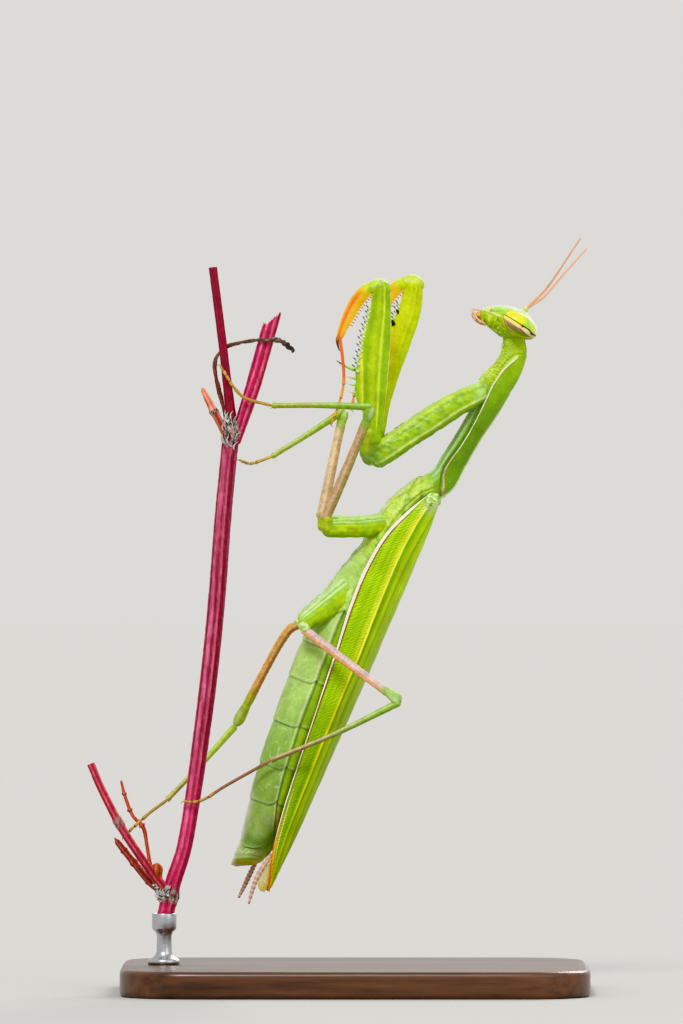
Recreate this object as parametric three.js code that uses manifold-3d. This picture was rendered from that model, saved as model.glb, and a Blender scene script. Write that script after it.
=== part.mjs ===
// An adult female praying mantis, Mantis religiosa, clinging head up to a cut stem on a display stand.
// Millimetres, +Z up. The origin is the middle of the underside of the stand's base.
// X points from the stem to the animal's back, and its left side faces -Y.
// Every solid is a section carried along a curve, or a thin sheet bent over the body.

import * as THREE from 'three';
import { mergeVertices } from 'three/addons/utils/BufferGeometryUtils.js';
import Module from 'manifold-3d';

const wasm = await Module();
wasm.setup();

// ---- Driving dimensions ----

const GAP = 0.3; // clearance between neighbouring solids
const ROLL = THREE.MathUtils.degToRad(16); // the back is turned this far towards -Y

// The trunk from the back of the head to the tip of the abdomen, in evenly numbered stations:
// centre x and z, half width, height above the centre line and depth below it.
const TRUNK = [
  [17.7, 72.4, 1.25, 1.3, 1.3], // 0 back of the head
  [17.5, 71.0, 1.5, 1.7, 1.45], // 1 front edge of the pronotum
  [16.6, 68.9, 2.0, 1.95, 1.6], // 2 widest part, over the fore coxae
  [14.8, 65.0, 1.85, 1.6, 1.6], // 3
  [12.9, 61.8, 1.6, 1.5, 1.5], // 4 slender waist of the prothorax
  [11.2, 59.1, 1.5, 1.5, 1.5], // 5
  [9.6, 56.7, 1.6, 1.45, 1.6], // 6 rear edge of the pronotum
  [7.1, 54.9, 2.3, 1.15, 2.0], // 7 mesothorax
  [4.7, 52.0, 3.0, 1.9, 2.4], // 8
  [3.0, 48.4, 3.3, 2.1, 2.7], // 9 metathorax
  [0.7, 44.8, 3.45, 2.4, 3.2], // 10
  [-1.2, 41.4, 3.75, 2.7, 3.5], // 11 abdomen
  [-2.6, 37.9, 3.9, 2.7, 3.5], // 12
  [-4.0, 34.5, 3.9, 2.7, 3.4], // 13
  [-5.7, 30.0, 3.8, 2.6, 3.3], // 14
  [-7.3, 25.7, 3.6, 2.4, 3.1], // 15
  [-8.9, 21.3, 3.2, 2.2, 2.8], // 16
  [-10.5, 16.8, 2.5, 1.6, 2.2], // 17
  [-12.2, 14.1, 1.8, 1.1, 2.0], // 18 tip
];
const TRUNK_SEAMS = [1, 6.2, 8.9, 10.9, 12.05, 13.17, 14.28, 15.2, 16.2, 17.2];
const ROOF = 1.45; // superellipse power of the pronotum's upper half: below 2 is a keeled roof

// The tegmina in the wings' own frame: s runs from the hinge to the tip, u to the animal's left
// and v up off the back. The lists are evenly spaced along s.
const WING_HINGE = new THREE.Vector3(9.2, -1.1, 54.3);
const WING_LENGTH = 47;
const WING_START = 0.6; // the hinge stands this far off the thorax
const WING_LEAN = Math.atan2(18.8, 43.1); // the folded wings' slope from the vertical
const WING_COSTAL_U = [1.8, 3.4, 3.85, 3.8, 3.7, 3.5, 3.2, 2.9, 2.5, 1.8, 0.95];
const WING_COSTAL_V = [-1.48, -3.07, -3.6, -3.48, -2.99, -2.58, -2.2, -1.88, -1.53, -0.97, -0.45];
const WING_VEIN_U = [1.3, 2.5, 2.9, 3.0, 3.0, 2.9, 2.6, 2.3, 1.9, 1.3, 0.6];
const WING_VEIN_V = [-0.5, -0.85, -0.85, -0.7, -0.5, -0.5, -0.45, -0.4, -0.35, -0.22, -0.12];
const WING_RIDGE_V = 0.12; // height of the upper wing over the midline
const WING_OVERLAP = 1.6; // how far each wing reaches past the midline
const SHEET = 0.5; // thickness of a wing

// The head: stations from the crown to the upper lip. Distance towards the mouth, offset of the
// centre towards the face, half height and half width.
const HEAD_CENTRE = new THREE.Vector3(16.67, 0, 74.44);
const HEAD_TILT = THREE.MathUtils.degToRad(12); // the mouth points this far above the horizontal
const HEAD = [
  [-3.35, -0.45, 0.55, 1.9],
  [-2.75, -0.15, 1.15, 2.5],
  [-1.9, 0.03, 1.62, 2.6],
  [-0.9, -0.03, 1.78, 2.4],
  [0.1, -0.02, 1.76, 2.05],
  [0.9, 0.16, 1.52, 1.6],
  [1.8, 0.22, 1.15, 1.2],
  [2.6, 0.18, 0.8, 0.95],
  [3.0, 0.15, 0.5, 0.6],
];
const EYE = { mouthward: -1.74, faceward: -0.04, side: 2.4, tilt: 0.363, long: 2.12, short: 1.22, deep: 1.3 };

// Where the fore, middle and hind legs bend. y is the distance out from the middle plane.
const FORE = {
  left: {
    coxa: [[14.6, 1.0, 66.9], [11.3, 2.2, 65.3], [8.8, 2.7, 63.7], [5.9, 3.1, 61.8],
           [3.2, 3.4, 60.2], [1.4, 3.5, 59.2]],
    femur: [[2.0, 3.6, 61.4], [1.9, 3.6, 65.4], [2.05, 3.6, 68.9], [2.2, 3.6, 71.8],
            [2.7, 3.6, 74.2], [2.95, 3.6, 79.3]],
    tibia: [[2.5, 3.6, 78.9], [1.3, 3.6, 78.0], [0.4, 3.6, 76.7], [-0.3, 3.6, 75.4],
            [-1.0, 3.6, 73.9], [-1.6, 3.6, 72.6]],
    tarsus: [[-1.9, 3.6, 72.3], [-1.2, 3.5, 69.4], [-1.3, 3.5, 67.8], [-2.2, 3.4, 64.6], [-2.7, 3.3, 63.0]],
  },
  right: {
    coxa: [[14.6, 1.0, 66.9], [11.3, 2.2, 65.3], [8.8, 2.7, 63.8], [6.0, 3.1, 62.0],
           [3.6, 3.4, 60.4], [1.9, 3.5, 59.3]],
    femur: [[2.4, 3.6, 61.5], [2.8, 3.6, 65.4], [3.8, 3.6, 69.3], [4.8, 3.6, 72.2], [5.8, 3.6, 74.8],
            [6.8, 3.6, 79.4]],
    tibia: [[6.1, 3.6, 79.2], [5.0, 3.6, 78.2], [4.1, 3.6, 77.0], [3.4, 3.6, 75.6], [2.7, 3.6, 74.0],
            [2.1, 3.6, 72.4]],
    tarsus: [[1.8, 3.6, 72.1], [1.3, 3.5, 70.0], [0.6, 3.5, 68.2], [0.0, 3.4, 66.7], [-0.4, 3.3, 64.6]],
  },
};
const MIDDLE = {
  left: {
    coxa: [[4.0, 1.6, 51.7], [0.2, 3.0, 51.6], [-3.2, 3.9, 51.6]],
    femur: [[-3.2, 4.0, 51.9], [-0.6, 6.1, 58.4], [1.9, 8.2, 64.9]],
    tibia: [[1.9, 8.2, 64.9], [-3.7, 5.3, 65.1], [-9.2, 2.4, 65.1]],
    tarsus: [[-9.2, 2.4, 65.1], [-12.1, 1.8, 65.9], [-13.4, 1.5, 67.1], [-14.2, 1.3, 68.3],
             [-15.0, 0.9, 69.6]],
  },
  right: {
    coxa: [[4.0, 1.6, 51.7], [0.0, 3.0, 52.2], [-3.4, 3.9, 52.6]],
    femur: [[-3.5, 4.1, 52.9], [-2.4, 7.1, 58.7], [-1.2, 10.4, 64.7]],
    tibia: [[-1.2, 10.4, 64.7], [-5.2, 5.9, 62.0], [-9.2, 1.4, 59.5]],
    tarsus: [[-9.2, 1.4, 59.5], [-10.4, 1.0, 59.0], [-11.4, 0.7, 58.7], [-12.3, 0.5, 59.0]],
  },
};
const HIND = {
  left: {
    coxa: [[1.2, 1.6, 45.6], [-1.3, 3.0, 44.3], [-4.1, 3.9, 42.4], [-5.9, 4.4, 40.9]],
    femur: [[-6.0, 4.5, 40.8], [-0.5, 7.7, 36.5], [5.0, 11.0, 32.4]],
    tibia: [[5.0, 11.0, 32.4], [-2.2, 7.6, 28.8], [-9.3, 4.2, 25.8]],
    tarsus: [[-9.3, 4.2, 25.8], [-14.4, 2.2, 22.9], [-16.4, 1.7, 21.6], [-17.9, 1.5, 21.1],
             [-19.0, 1.3, 21.2]],
  },
  right: {
    coxa: [[1.2, 1.6, 45.6], [-1.3, 3.0, 44.4], [-4.1, 3.9, 42.6], [-6.0, 4.4, 41.1]],
    femur: [[-6.2, 4.5, 40.9], [-8.2, 5.8, 39.0], [-13.4, 11.4, 29.3]],
    tibia: [[-13.4, 11.4, 29.3], [-17.1, 5.2, 25.2], [-20.9, -1.0, 21.3]],
    tarsus: [[-20.9, -1.0, 21.3], [-22.8, -1.2, 19.9], [-24.6, -1.4, 18.3], [-25.8, -1.2, 17.2]],
  },
};

// Half sizes along each leg piece: across the leg in its own plane, and through it.
const FORE_COXA = { wide: [1.15, 1.35, 1.45, 1.4, 1.35, 1.25], thick: [0.9, 1.05, 1.1, 1.1, 1.1, 1.05] };
const FORE_FEMUR = { wide: [0.85, 1.3, 1.4, 1.45, 1.2, 0.8], thick: [0.75, 0.9, 0.95, 0.95, 0.85, 0.7] };
const FORE_TIBIA = { wide: [0.62, 0.6, 0.55, 0.5, 0.45, 0.3], thick: [0.5, 0.48, 0.45, 0.42, 0.38, 0.27] };
const FORE_TARSUS = { wide: [0.27, 0.25], thick: [0.27, 0.25] };
const WALK_COXA = { middle: [1.2, 1.05, 0.9], hind: [1.7, 1.6, 1.35, 1.1] };
const WALK_FEMUR = [0.62, 0.52, 0.42];
const WALK_TIBIA = [0.36, 0.34, 0.32];
const WALK_TARSUS = [0.29, 0.27, 0.25];

// The perch: a jointed stem, its two upper shoots, a side branch, a twig stub and a dry tendril.
const STEM = [[-21.2, 0, 8.3], [-20.7, 0, 11.9], [-19.3, 0, 16.5], [-17.7, 0, 21.2], [-16.6, 0, 33.0],
              [-15.2, 0, 44.6], [-13.9, 0, 58.0], [-13.6, 0, 63.0]];
const SHOOT = [[-13.7, -0.1, 63.2], [-14.3, -0.1, 68.5], [-14.9, -0.1, 73.5], [-15.8, -0.1, 80.5]];
const STUB = [[-13.0, -0.1, 62.3], [-11.6, -0.2, 66.4], [-10.3, -0.2, 70.9], [-9.1, -0.2, 75.3]];
const BUD = [[-14.6, -0.2, 62.2], [-15.9, -0.3, 64.8], [-17.0, -0.3, 67.1]];
const BRANCH = [[-20.9, -0.2, 11.2], [-22.3, -0.8, 12.9], [-24.1, -1.9, 15.5], [-26.0, -2.5, 18.5],
                [-28.1, -2.6, 22.6], [-29.3, -2.6, 25.4]];
const TWIG = [[-20.9, 0.3, 10.8], [-22.8, 0.9, 12.2], [-25.0, 1.6, 14.8], [-26.6, 2.0, 16.8]];
const TENDRIL = [[-14.2, 0.6, 63.4], [-15.4, 0.7, 68.0], [-15.5, 0.8, 70.2], [-14.4, 0.95, 71.6],
                 [-12.3, -0.1, 72.2], [-10.2, -1.4, 72.4], [-8.3, -1.3, 72.3], [-6.7, -1.1, 71.1]];

// The stand: a flat wooden base with rounded corners, and a steel rod that holds the stem.
const BASE = { length: 52, width: 40, height: 3, corner: 8, bevel: 0.5 };
const ROD = { radius: 1.0, foot: 1.8, top: 8.0 };

// ---- Geometry helpers ----

const vector = ([x, y, z]) => new THREE.Vector3(x, y, z);

/** A smooth curve through a few places. */
const path = (places) => new THREE.CatmullRomCurve3(places.map(vector), false, 'catmullrom', 0.5);

/** The same places on the animal's left (-Y) or right (+Y) side. */
const onSide = (places, side) => places.map(([x, y, z]) => [x, side * y, z]);

/** The value at t, from 0 to 1, of a list of evenly spaced values. */
function along(values, t) {
  const place = THREE.MathUtils.clamp(t, 0, 1) * (values.length - 1);
  const i = Math.min(Math.floor(place), values.length - 2);
  return THREE.MathUtils.lerp(values[i], values[i + 1], place - i);
}

/** Rows [t, fullness] of a closed loft. A cap of 0 is a flat end, and a larger one is a rounded end. */
function lengthwise(count, startCap, endCap) {
  const rows = [[0, 0], [startCap * 0.134, startCap > 0 ? 0.5 : 1]];
  if (startCap > 0) {
    rows.push([startCap * 0.5, 0.866]);
  }
  for (let i = startCap > 0 ? 0 : 1; i <= count - (endCap > 0 ? 0 : 1); i += 1) {
    rows.push([startCap + (1 - startCap - endCap) * i / count, 1]);
  }
  if (endCap > 0) {
    rows.push([1 - endCap * 0.5, 0.866]);
  }
  rows.push([1 - endCap * 0.134, endCap > 0 ? 0.5 : 1], [1, 0]);
  return rows;
}

/** A closed solid: its vertices are merged, flat slivers dropped, and its faces turned outwards. */
function solid(geometry) {
  const bare = new THREE.BufferGeometry();
  bare.setAttribute('position', geometry.getAttribute('position').clone());
  bare.setIndex(geometry.getIndex());
  const merged = mergeVertices(bare);
  const position = merged.getAttribute('position');
  const corners = [0, 1, 2].map(() => new THREE.Vector3());
  const triangles = [];
  let volume = 0;
  for (let i = 0; i < merged.index.count; i += 3) {
    const [a, b, c] = [0, 1, 2].map((k) => merged.index.getX(i + k));
    if (a !== b && b !== c && c !== a) {
      triangles.push([a, b, c]);
      [a, b, c].forEach((v, k) => corners[k].fromBufferAttribute(position, v));
      volume += corners[0].dot(corners[1].clone().cross(corners[2]));
    }
  }
  const turned = volume < 0 ? triangles.map(([a, b, c]) => [a, c, b]) : triangles;
  return new wasm.Manifold(new wasm.Mesh({
    numProp: 3,
    vertProperties: new Float32Array(position.array),
    triVerts: new Uint32Array(turned.flat()),
  }));
}

/** A closed loft: place(t, cos, sin, fullness) gives the surface point for each row and angle. */
function loft(rows, sides, place) {
  const profile = rows.map(([t, fullness]) => new THREE.Vector2(fullness, t));
  const geometry = new THREE.LatheGeometry(profile, sides);
  const position = geometry.getAttribute('position');
  const rounded = (number) => Math.round(number * 1e5) / 1e5;
  for (let i = 0; i < position.count; i += 1) {
    const [x, t, z] = [position.getX(i), position.getY(i), position.getZ(i)];
    const fullness = Math.hypot(x, z);
    const turn = Math.max(fullness, 1e-9);
    const spot = place(t, rounded(x / turn), rounded(z / turn), rounded(fullness));
    position.setXYZ(i, spot.x, spot.y, spot.z);
  }
  return solid(geometry);
}

/** An oval section carried along a curve. thin is the direction that the thickness lies in. */
function limb(curve, wide, thick, options = {}) {
  const { count = 6, sides = 8, start = 0, end = 0, grow = 0, thin = new THREE.Vector3(0, 1, 0) } = options;
  return loft(lengthwise(count, start, end), sides, (t, cos, sin, fullness) => {
    const tangent = curve.getTangent(t);
    const across = thin.clone().addScaledVector(tangent, -thin.dot(tangent)).normalize();
    const up = new THREE.Vector3().crossVectors(tangent, across);
    return curve.getPoint(t)
      .addScaledVector(up, cos * fullness * (along(wide, t) + grow))
      .addScaledVector(across, sin * fullness * (along(thick, t) + grow));
  });
}

/** A thin curved sheet: place(q, w) gives the middle surface for q across and w along it. */
function sheet(grid, size, thickness, place) {
  const [columns, rows] = grid;
  const [stretchQ, stretchW] = size.map((length) => 1 + (thickness - SHEET) / length);
  const geometry = new THREE.BoxGeometry(1, 1, 1, columns, rows, 1);
  const position = geometry.getAttribute('position');
  const step = 0.001;
  for (let i = 0; i < position.count; i += 1) {
    const q = position.getX(i) * (stretchQ - 2 * step) + 0.5;
    const w = position.getY(i) * (stretchW - 2 * step) + 0.5;
    const acrossIt = place(q + step, w).sub(place(q - step, w));
    const alongIt = place(q, w + step).sub(place(q, w - step));
    const normal = acrossIt.cross(alongIt).normalize();
    const spot = place(q, w).addScaledVector(normal, position.getZ(i) * thickness);
    position.setXYZ(i, spot.x, spot.y, spot.z);
  }
  return solid(geometry);
}

/** A small spine: a cone from its base to its tip. */
function spine(base, tip, radius) {
  const axis = tip.clone().sub(base);
  const geometry = new THREE.ConeGeometry(radius, axis.length(), 4);
  geometry.translate(0, axis.length() / 2, 0);
  const turn = new THREE.Quaternion().setFromUnitVectors(new THREE.Vector3(0, 1, 0), axis.normalize());
  geometry.applyQuaternion(turn);
  geometry.translate(base.x, base.y, base.z);
  return solid(geometry);
}

/** The biggest of the pieces that a cut leaves. */
function biggest(manifold) {
  return manifold.decompose().sort((a, b) => b.volume() - a.volume())[0];
}

/** Parts two limb pieces at their joint by a thin cut along the plane that halves the bend. */
function partAt(first, second, joint, directionIn, directionOut) {
  const normal = directionIn.clone().normalize().add(directionOut.clone().normalize()).normalize();
  const offset = normal.dot(joint);
  const before = first.trimByPlane(normal.clone().negate().toArray(), GAP / 2 - offset);
  const after = second.trimByPlane(normal.toArray(), GAP / 2 + offset);
  return [biggest(before), biggest(after)];
}

const model = new THREE.Group();

/** Adds a solid to the model as a named mesh with its own material. */
function add(name, manifold, color, roughness = 0.5, metalness = 0) {
  const { vertProperties, triVerts } = manifold.getMesh();
  const geometry = new THREE.BufferGeometry();
  geometry.setAttribute('position', new THREE.BufferAttribute(vertProperties, 3));
  geometry.setIndex(new THREE.BufferAttribute(triVerts, 1));
  const mesh = new THREE.Mesh(geometry, new THREE.MeshStandardMaterial({ color, roughness, metalness }));
  mesh.name = name;
  model.add(mesh);
}

// ---- Trunk: prothorax, thorax and abdomen ----

const trunkCurve = path(TRUNK.map(([x, z]) => [x, 0, z]));
const LAST = TRUNK.length - 1;
const ringed = TRUNK_SEAMS[3]; // the abdomen's rings start here

/** The trunk's frame at station k: centre, left and back directions. */
function trunkFrame(k) {
  const tangent = trunkCurve.getTangent(k / LAST);
  const normal = new THREE.Vector3(-tangent.z, 0, tangent.x);
  const back = normal.clone().multiplyScalar(Math.cos(ROLL)).add(new THREE.Vector3(0, -Math.sin(ROLL), 0));
  const left = normal.clone().multiplyScalar(-Math.sin(ROLL)).add(new THREE.Vector3(0, -Math.cos(ROLL), 0));
  return { centre: trunkCurve.getPoint(k / LAST), left, back };
}

/** A length of the trunk between two stations, fattened by grow. */
function trunkLength(from, to, count, endCap = 0, grow = 0) {
  return loft(lengthwise(count, 0, endCap), 14, (t, cos, sin, fullness) => {
    const k = from + (to - from) * t;
    const { centre, left, back } = trunkFrame(k);
    const size = (column) => along(TRUNK.map((station) => station[column]), k / LAST);
    const power = k < TRUNK_SEAMS[1] && k > TRUNK_SEAMS[0] && sin > 0 ? ROOF : 2;
    const bulge = k > ringed ? 1 - 0.04 * (2 * t - 1) ** 2 : 1;
    const u = Math.sign(cos) * Math.abs(cos) ** (2 / power) * size(2) * bulge + cos * grow;
    const v = Math.sign(sin) * Math.abs(sin) ** (2 / power) * size(sin > 0 ? 3 : 4) * bulge + sin * grow;
    return centre.addScaledVector(left, u * fullness).addScaledVector(back, v * fullness);
  });
}

const tailStart = TRUNK_SEAMS.at(-1);
const trunkCutter = trunkLength(0.5, tailStart, 17, 0, GAP)
  .add(trunkLength(tailStart - 0.1, LAST, 2, 0.35, GAP));
const seamHalf = GAP / 2 / 3.8; // half a thin cut, in stations
const GREEN = 0x86b81c;

/** The trunk's pieces between its seams, from the front edge of the pronotum to the tip. */
function addTrunk() {
  const names = ['prothorax', 'mesothorax', 'metathorax'];
  const counts = [8, 4, 3];
  TRUNK_SEAMS.forEach((seam, i) => {
    const isLast = i === TRUNK_SEAMS.length - 1;
    const from = seam + seamHalf;
    const to = isLast ? LAST : TRUNK_SEAMS[i + 1] - seamHalf;
    const name = names[i] ?? `abdomen_${i - names.length + 1}`;
    const colour = i < names.length ? GREEN : 0x8fb35a;
    add(name, trunkLength(from, to, counts[i] ?? 2, isLast ? 0.35 : 0), colour);
  });
}

// ---- Head: capsule, eyes, neck, mouthparts and antennae ----

const mouthward = new THREE.Vector3(-Math.cos(HEAD_TILT), 0, Math.sin(HEAD_TILT));
const faceward = new THREE.Vector3(Math.sin(HEAD_TILT), 0, Math.cos(HEAD_TILT));

/** A place in the head's own frame: towards the mouth, towards the face and out to a side. */
const headPlace = (m, f, y) => HEAD_CENTRE.clone()
  .addScaledVector(mouthward, m).addScaledVector(faceward, f).add(new THREE.Vector3(0, y, 0));

function headCapsule(grow = 0) {
  const column = (i, t) => along(HEAD.map((station) => station[i]), t);
  return loft(lengthwise(8, 0.05, 0.06), 12, (t, cos, sin, fullness) => headPlace(
    column(0, t) + grow * (2 * t - 1),
    column(1, t) + sin * fullness * (column(2, t) + grow),
    cos * fullness * (column(3, t) + grow),
  ));
}

/** A domed oval eye on one side, its long axis sloping back from the crown. */
function eye(side, grow = 0) {
  const longways = mouthward.clone().multiplyScalar(-Math.cos(EYE.tilt))
    .addScaledVector(faceward, -Math.sin(EYE.tilt));
  const shortways = new THREE.Vector3().crossVectors(longways, new THREE.Vector3(0, 1, 0));
  const centre = headPlace(EYE.mouthward, EYE.faceward, side * EYE.side);
  const geometry = new THREE.SphereGeometry(1, 12, 8);
  const position = geometry.getAttribute('position');
  for (let i = 0; i < position.count; i += 1) {
    const spot = centre.clone()
      .addScaledVector(longways, position.getX(i) * (EYE.long + grow))
      .addScaledVector(shortways, position.getZ(i) * (EYE.short + grow))
      .add(new THREE.Vector3(0, position.getY(i) * (EYE.deep + grow), 0));
    position.setXYZ(i, spot.x, spot.y, spot.z);
  }
  return solid(geometry);
}

/** The palps curl round the mouth from a small core of jaws. */
function mouthparts() {
  const core = limb(new THREE.CatmullRomCurve3([headPlace(2.0, -0.35, 0), headPlace(3.35, -0.15, 0)]),
    [0.5, 0.45], [0.75, 0.5], { count: 3, start: 0.3, end: 0.3 });
  const palps = [-1, 1].map((side) => limb(new THREE.CatmullRomCurve3([
    headPlace(2.3, -0.6, side * 0.5), headPlace(3.2, -0.6, side * 0.75),
    headPlace(3.7, 0.0, side * 0.7), headPlace(3.6, 0.55, side * 0.45),
  ]), [0.27, 0.25], [0.27, 0.25], { count: 7, sides: 6, end: 0.08 }));
  return palps.reduce((whole, palp) => whole.add(palp), core);
}

/** A slender antenna, held up and out to its side. */
function antenna(side) {
  const sweep = side < 0
    ? [[0.3, 0.5, 0.3], [2.3, 1.6, 2.1], [3.75, 3.3, 4.1], [6.25, 5.6, 7.9]]
    : [[0.3, 0.5, 0.3], [2.3, 1.7, 1.5], [4.4, 3.6, 3.9], [7.2, 6.2, 7.0]];
  const root = headPlace(-1.75, 1.75, 0);
  const places = sweep.map(([x, y, z]) => root.clone().add(new THREE.Vector3(x, side * y, z)));
  const curve = new THREE.CatmullRomCurve3(places);
  return limb(curve, [0.28, 0.26, 0.25], [0.28, 0.26, 0.25], { count: 9, sides: 6, end: 0.03 });
}

function addHead() {
  const eyes = { eye_left: -1, eye_right: 1 };
  const socketed = Object.values(eyes).reduce((head, side) => head.subtract(eye(side, GAP)), headCapsule());
  add('head', biggest(socketed), 0x9cc43a);
  Object.entries(eyes).forEach(([name, side]) => add(name, eye(side), 0xd3e021, 0.25));
  add('neck', biggest(trunkLength(0, TRUNK_SEAMS[0] - seamHalf, 4).subtract(headCapsule(GAP))
    .subtract(eye(-1, GAP)).subtract(eye(1, GAP))), GREEN);
  add('mouthparts', biggest(mouthparts().subtract(headCapsule(GAP))), 0xc98a4a);
  add('antenna_left', biggest(antenna(-1).subtract(headCapsule(GAP))), 0xd9a184);
  add('antenna_right', biggest(antenna(1).subtract(headCapsule(GAP))), 0xd9a184);
}

// ---- Wings ----

const wingDown = new THREE.Vector3(-Math.sin(WING_LEAN), 0, -Math.cos(WING_LEAN));
const wingOut = new THREE.Vector3(-wingDown.z, 0, wingDown.x);
const wingBack = wingOut.clone().multiplyScalar(Math.cos(ROLL)).add(new THREE.Vector3(0, -Math.sin(ROLL), 0));
const wingLeft = wingOut.clone().multiplyScalar(-Math.sin(ROLL))
  .add(new THREE.Vector3(0, -Math.cos(ROLL), 0));

/** A place in the wings' frame. */
const wingPlace = (s, u, v) => WING_HINGE.clone()
  .addScaledVector(wingDown, s).addScaledVector(wingLeft, u).addScaledVector(wingBack, v);

/** A tegmen: a steep costal field up to the main vein, then a field that lies over the back. */
function tegmen(side, thickness = SHEET) {
  const drop = side > 0 ? 0 : SHEET + GAP; // the right wing lies under the left one
  const veinShare = 3 / 8;
  return sheet([8, 10], [6, WING_LENGTH], thickness, (q, w) => {
    const s = WING_START + (WING_LENGTH - WING_START) * w;
    const [veinU, veinV] = [along(WING_VEIN_U, w), along(WING_VEIN_V, w)];
    const overlap = WING_OVERLAP * Math.sqrt(Math.sin(Math.PI * (0.12 + 0.84 * w)));
    const covered = (u) => 1 - THREE.MathUtils.smoothstep(u, overlap + 0.5, overlap + 1.1);
    if (q < veinShare) {
      const p = q / veinShare;
      const u = THREE.MathUtils.lerp(along(WING_COSTAL_U, w), veinU, p) + 0.25 * Math.sin(Math.PI * p);
      const v = THREE.MathUtils.lerp(along(WING_COSTAL_V, w), veinV, p);
      return wingPlace(s, side * u, v - drop * covered(veinU) * p);
    }
    const u = THREE.MathUtils.lerp(veinU, -overlap, (q - veinShare) / (1 - veinShare));
    const arch = WING_RIDGE_V + (veinV - WING_RIDGE_V) * (u / veinU) ** 2;
    return wingPlace(s, side * u, arch - drop * covered(u));
  });
}

/** The tip of a folded hind wing, showing past the tegmina. */
function hindwing(side, thickness = SHEET) {
  return sheet([3, 5], [1, 4], thickness, (q, w) => {
    const s = 43.2 + 3.9 * w;
    const fullness = Math.sqrt(Math.max(1 - (0.97 * w) ** 4, 0.02));
    const u = 0.4 + 1.0 * q * fullness;
    const v = -1.05 - 0.9 * Math.max(q, 0) ** 1.5 * fullness * (0.4 + 0.6 * w);
    return wingPlace(s, side * u, v);
  });
}

const AROUND = SHEET + 2 * GAP; // a wing with the clearance on both of its faces
const tegmina = tegmen(1, AROUND).add(tegmen(-1, AROUND));
const bodyCutter = trunkCutter.add(tegmina);
const tailCutter = bodyCutter.add(hindwing(1, AROUND)).add(hindwing(-1, AROUND));

function addWings() {
  add('forewing_left', biggest(tegmen(1).subtract(trunkCutter)), 0x8ccb0e, 0.4);
  add('forewing_right', biggest(tegmen(-1).subtract(trunkCutter)), 0x8ccb0e, 0.4);
  add('hindwing_left', biggest(hindwing(1).subtract(tegmina).subtract(trunkCutter)), 0xe2b02a, 0.4);
  add('hindwing_right', biggest(hindwing(-1).subtract(tegmina).subtract(trunkCutter)), 0xe2b02a, 0.4);
}

// ---- Legs ----

/** The curve of each piece of one leg, on the given side of the body. */
function legCurves(bends, side) {
  const curves = Object.entries(bends).map(([piece, places]) => [piece, path(onSide(places, side))]);
  return Object.fromEntries(curves);
}

/** The row of spines under a fore femur, longest near the middle, and the big inner one. */
function femurSpines(curve, side) {
  const cones = [];
  const count = 8;
  for (let i = 0; i < count; i += 1) {
    const t = 0.42 + 0.46 * i / (count - 1);
    const reach = along([1.0, 1.25, 1.0, 0.8], i / (count - 1));
    const root = curve.getPoint(t).add(new THREE.Vector3(-0.8, side * (i % 2 ? 0.35 : -0.35), 0));
    cones.push(spine(root, root.clone().add(new THREE.Vector3(-0.75 - reach * 0.55, 0, 0.25)), 0.27));
  }
  const root = curve.getPoint(0.55).add(new THREE.Vector3(-1.0, 0, 0));
  cones.push(spine(root, root.clone().add(new THREE.Vector3(-2.1, 0, 1.3)), 0.34));
  return cones;
}

function addForeLeg(name, side, bends) {
  const curves = legCurves(bends, side);
  const elbow = curves.coxa.getPoint(0.93);
  const femurStart = curves.femur.getPoint(0);
  const link = new THREE.CatmullRomCurve3([elbow, femurStart]);
  const coxa = limb(curves.coxa, FORE_COXA.wide, FORE_COXA.thick, { count: 5, end: 0.09 })
    .subtract(bodyCutter);
  const trochanter = limb(link, [1.25, 0.9], [0.95, 0.75], { count: 2, start: 0.3 });
  const femur = limb(curves.femur, FORE_FEMUR.wide, FORE_FEMUR.thick, { count: 6, end: 0.05 });
  const tibia = limb(curves.tibia, FORE_TIBIA.wide, FORE_TIBIA.thick, { count: 5, sides: 7, start: 0.06 });
  const upward = link.getTangent(0.5);
  const [cutCoxa, cutTrochanter] = partAt(coxa, trochanter, elbow, curves.coxa.getTangent(0.93), upward);
  const knee = curves.tibia.getPoint(0.03);
  const [cutFemur, cutTibia] = partAt(
    femur, tibia, knee, curves.femur.getTangent(1), curves.tibia.getTangent(0.25));
  const clawRoot = curves.tibia.getPoint(0.9);
  const clawTip = curves.tibia.getPoint(1).add(new THREE.Vector3(0.1, 0, -1.7));
  const clawed = cutTibia.add(spine(clawRoot, clawTip, 0.32));
  const tibiaCutter = limb(curves.tibia, FORE_TIBIA.wide, FORE_TIBIA.thick, { count: 5, sides: 7, grow: GAP })
    .add(spine(clawRoot, clawTip.clone().add(new THREE.Vector3(0, 0, -GAP)), 0.32 + GAP));
  const armed = femurSpines(curves.femur, side).reduce((whole, cone) => whole.add(cone), cutFemur)
    .subtract(tibiaCutter).trimByPlane(upward.toArray(), upward.dot(femurStart) + GAP / 2);
  const linkTop = GAP / 2 - upward.dot(femurStart);
  const tarsus = limb(curves.tarsus, FORE_TARSUS.wide, FORE_TARSUS.thick, { count: 6, sides: 6, end: 0.03 });
  add(`fore_coxa_${name}`, biggest(cutCoxa), GREEN);
  const lowTrochanter = cutTrochanter.trimByPlane(upward.clone().negate().toArray(), linkTop);
  add(`fore_trochanter_${name}`, biggest(lowTrochanter), GREEN);
  add(`fore_femur_${name}`, biggest(armed), GREEN);
  add(`fore_tibia_${name}`, biggest(clawed), 0xd99a2e);
  add(`fore_tarsus_${name}`, biggest(tarsus.subtract(tibiaCutter)), 0xd9702c);
}

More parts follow.
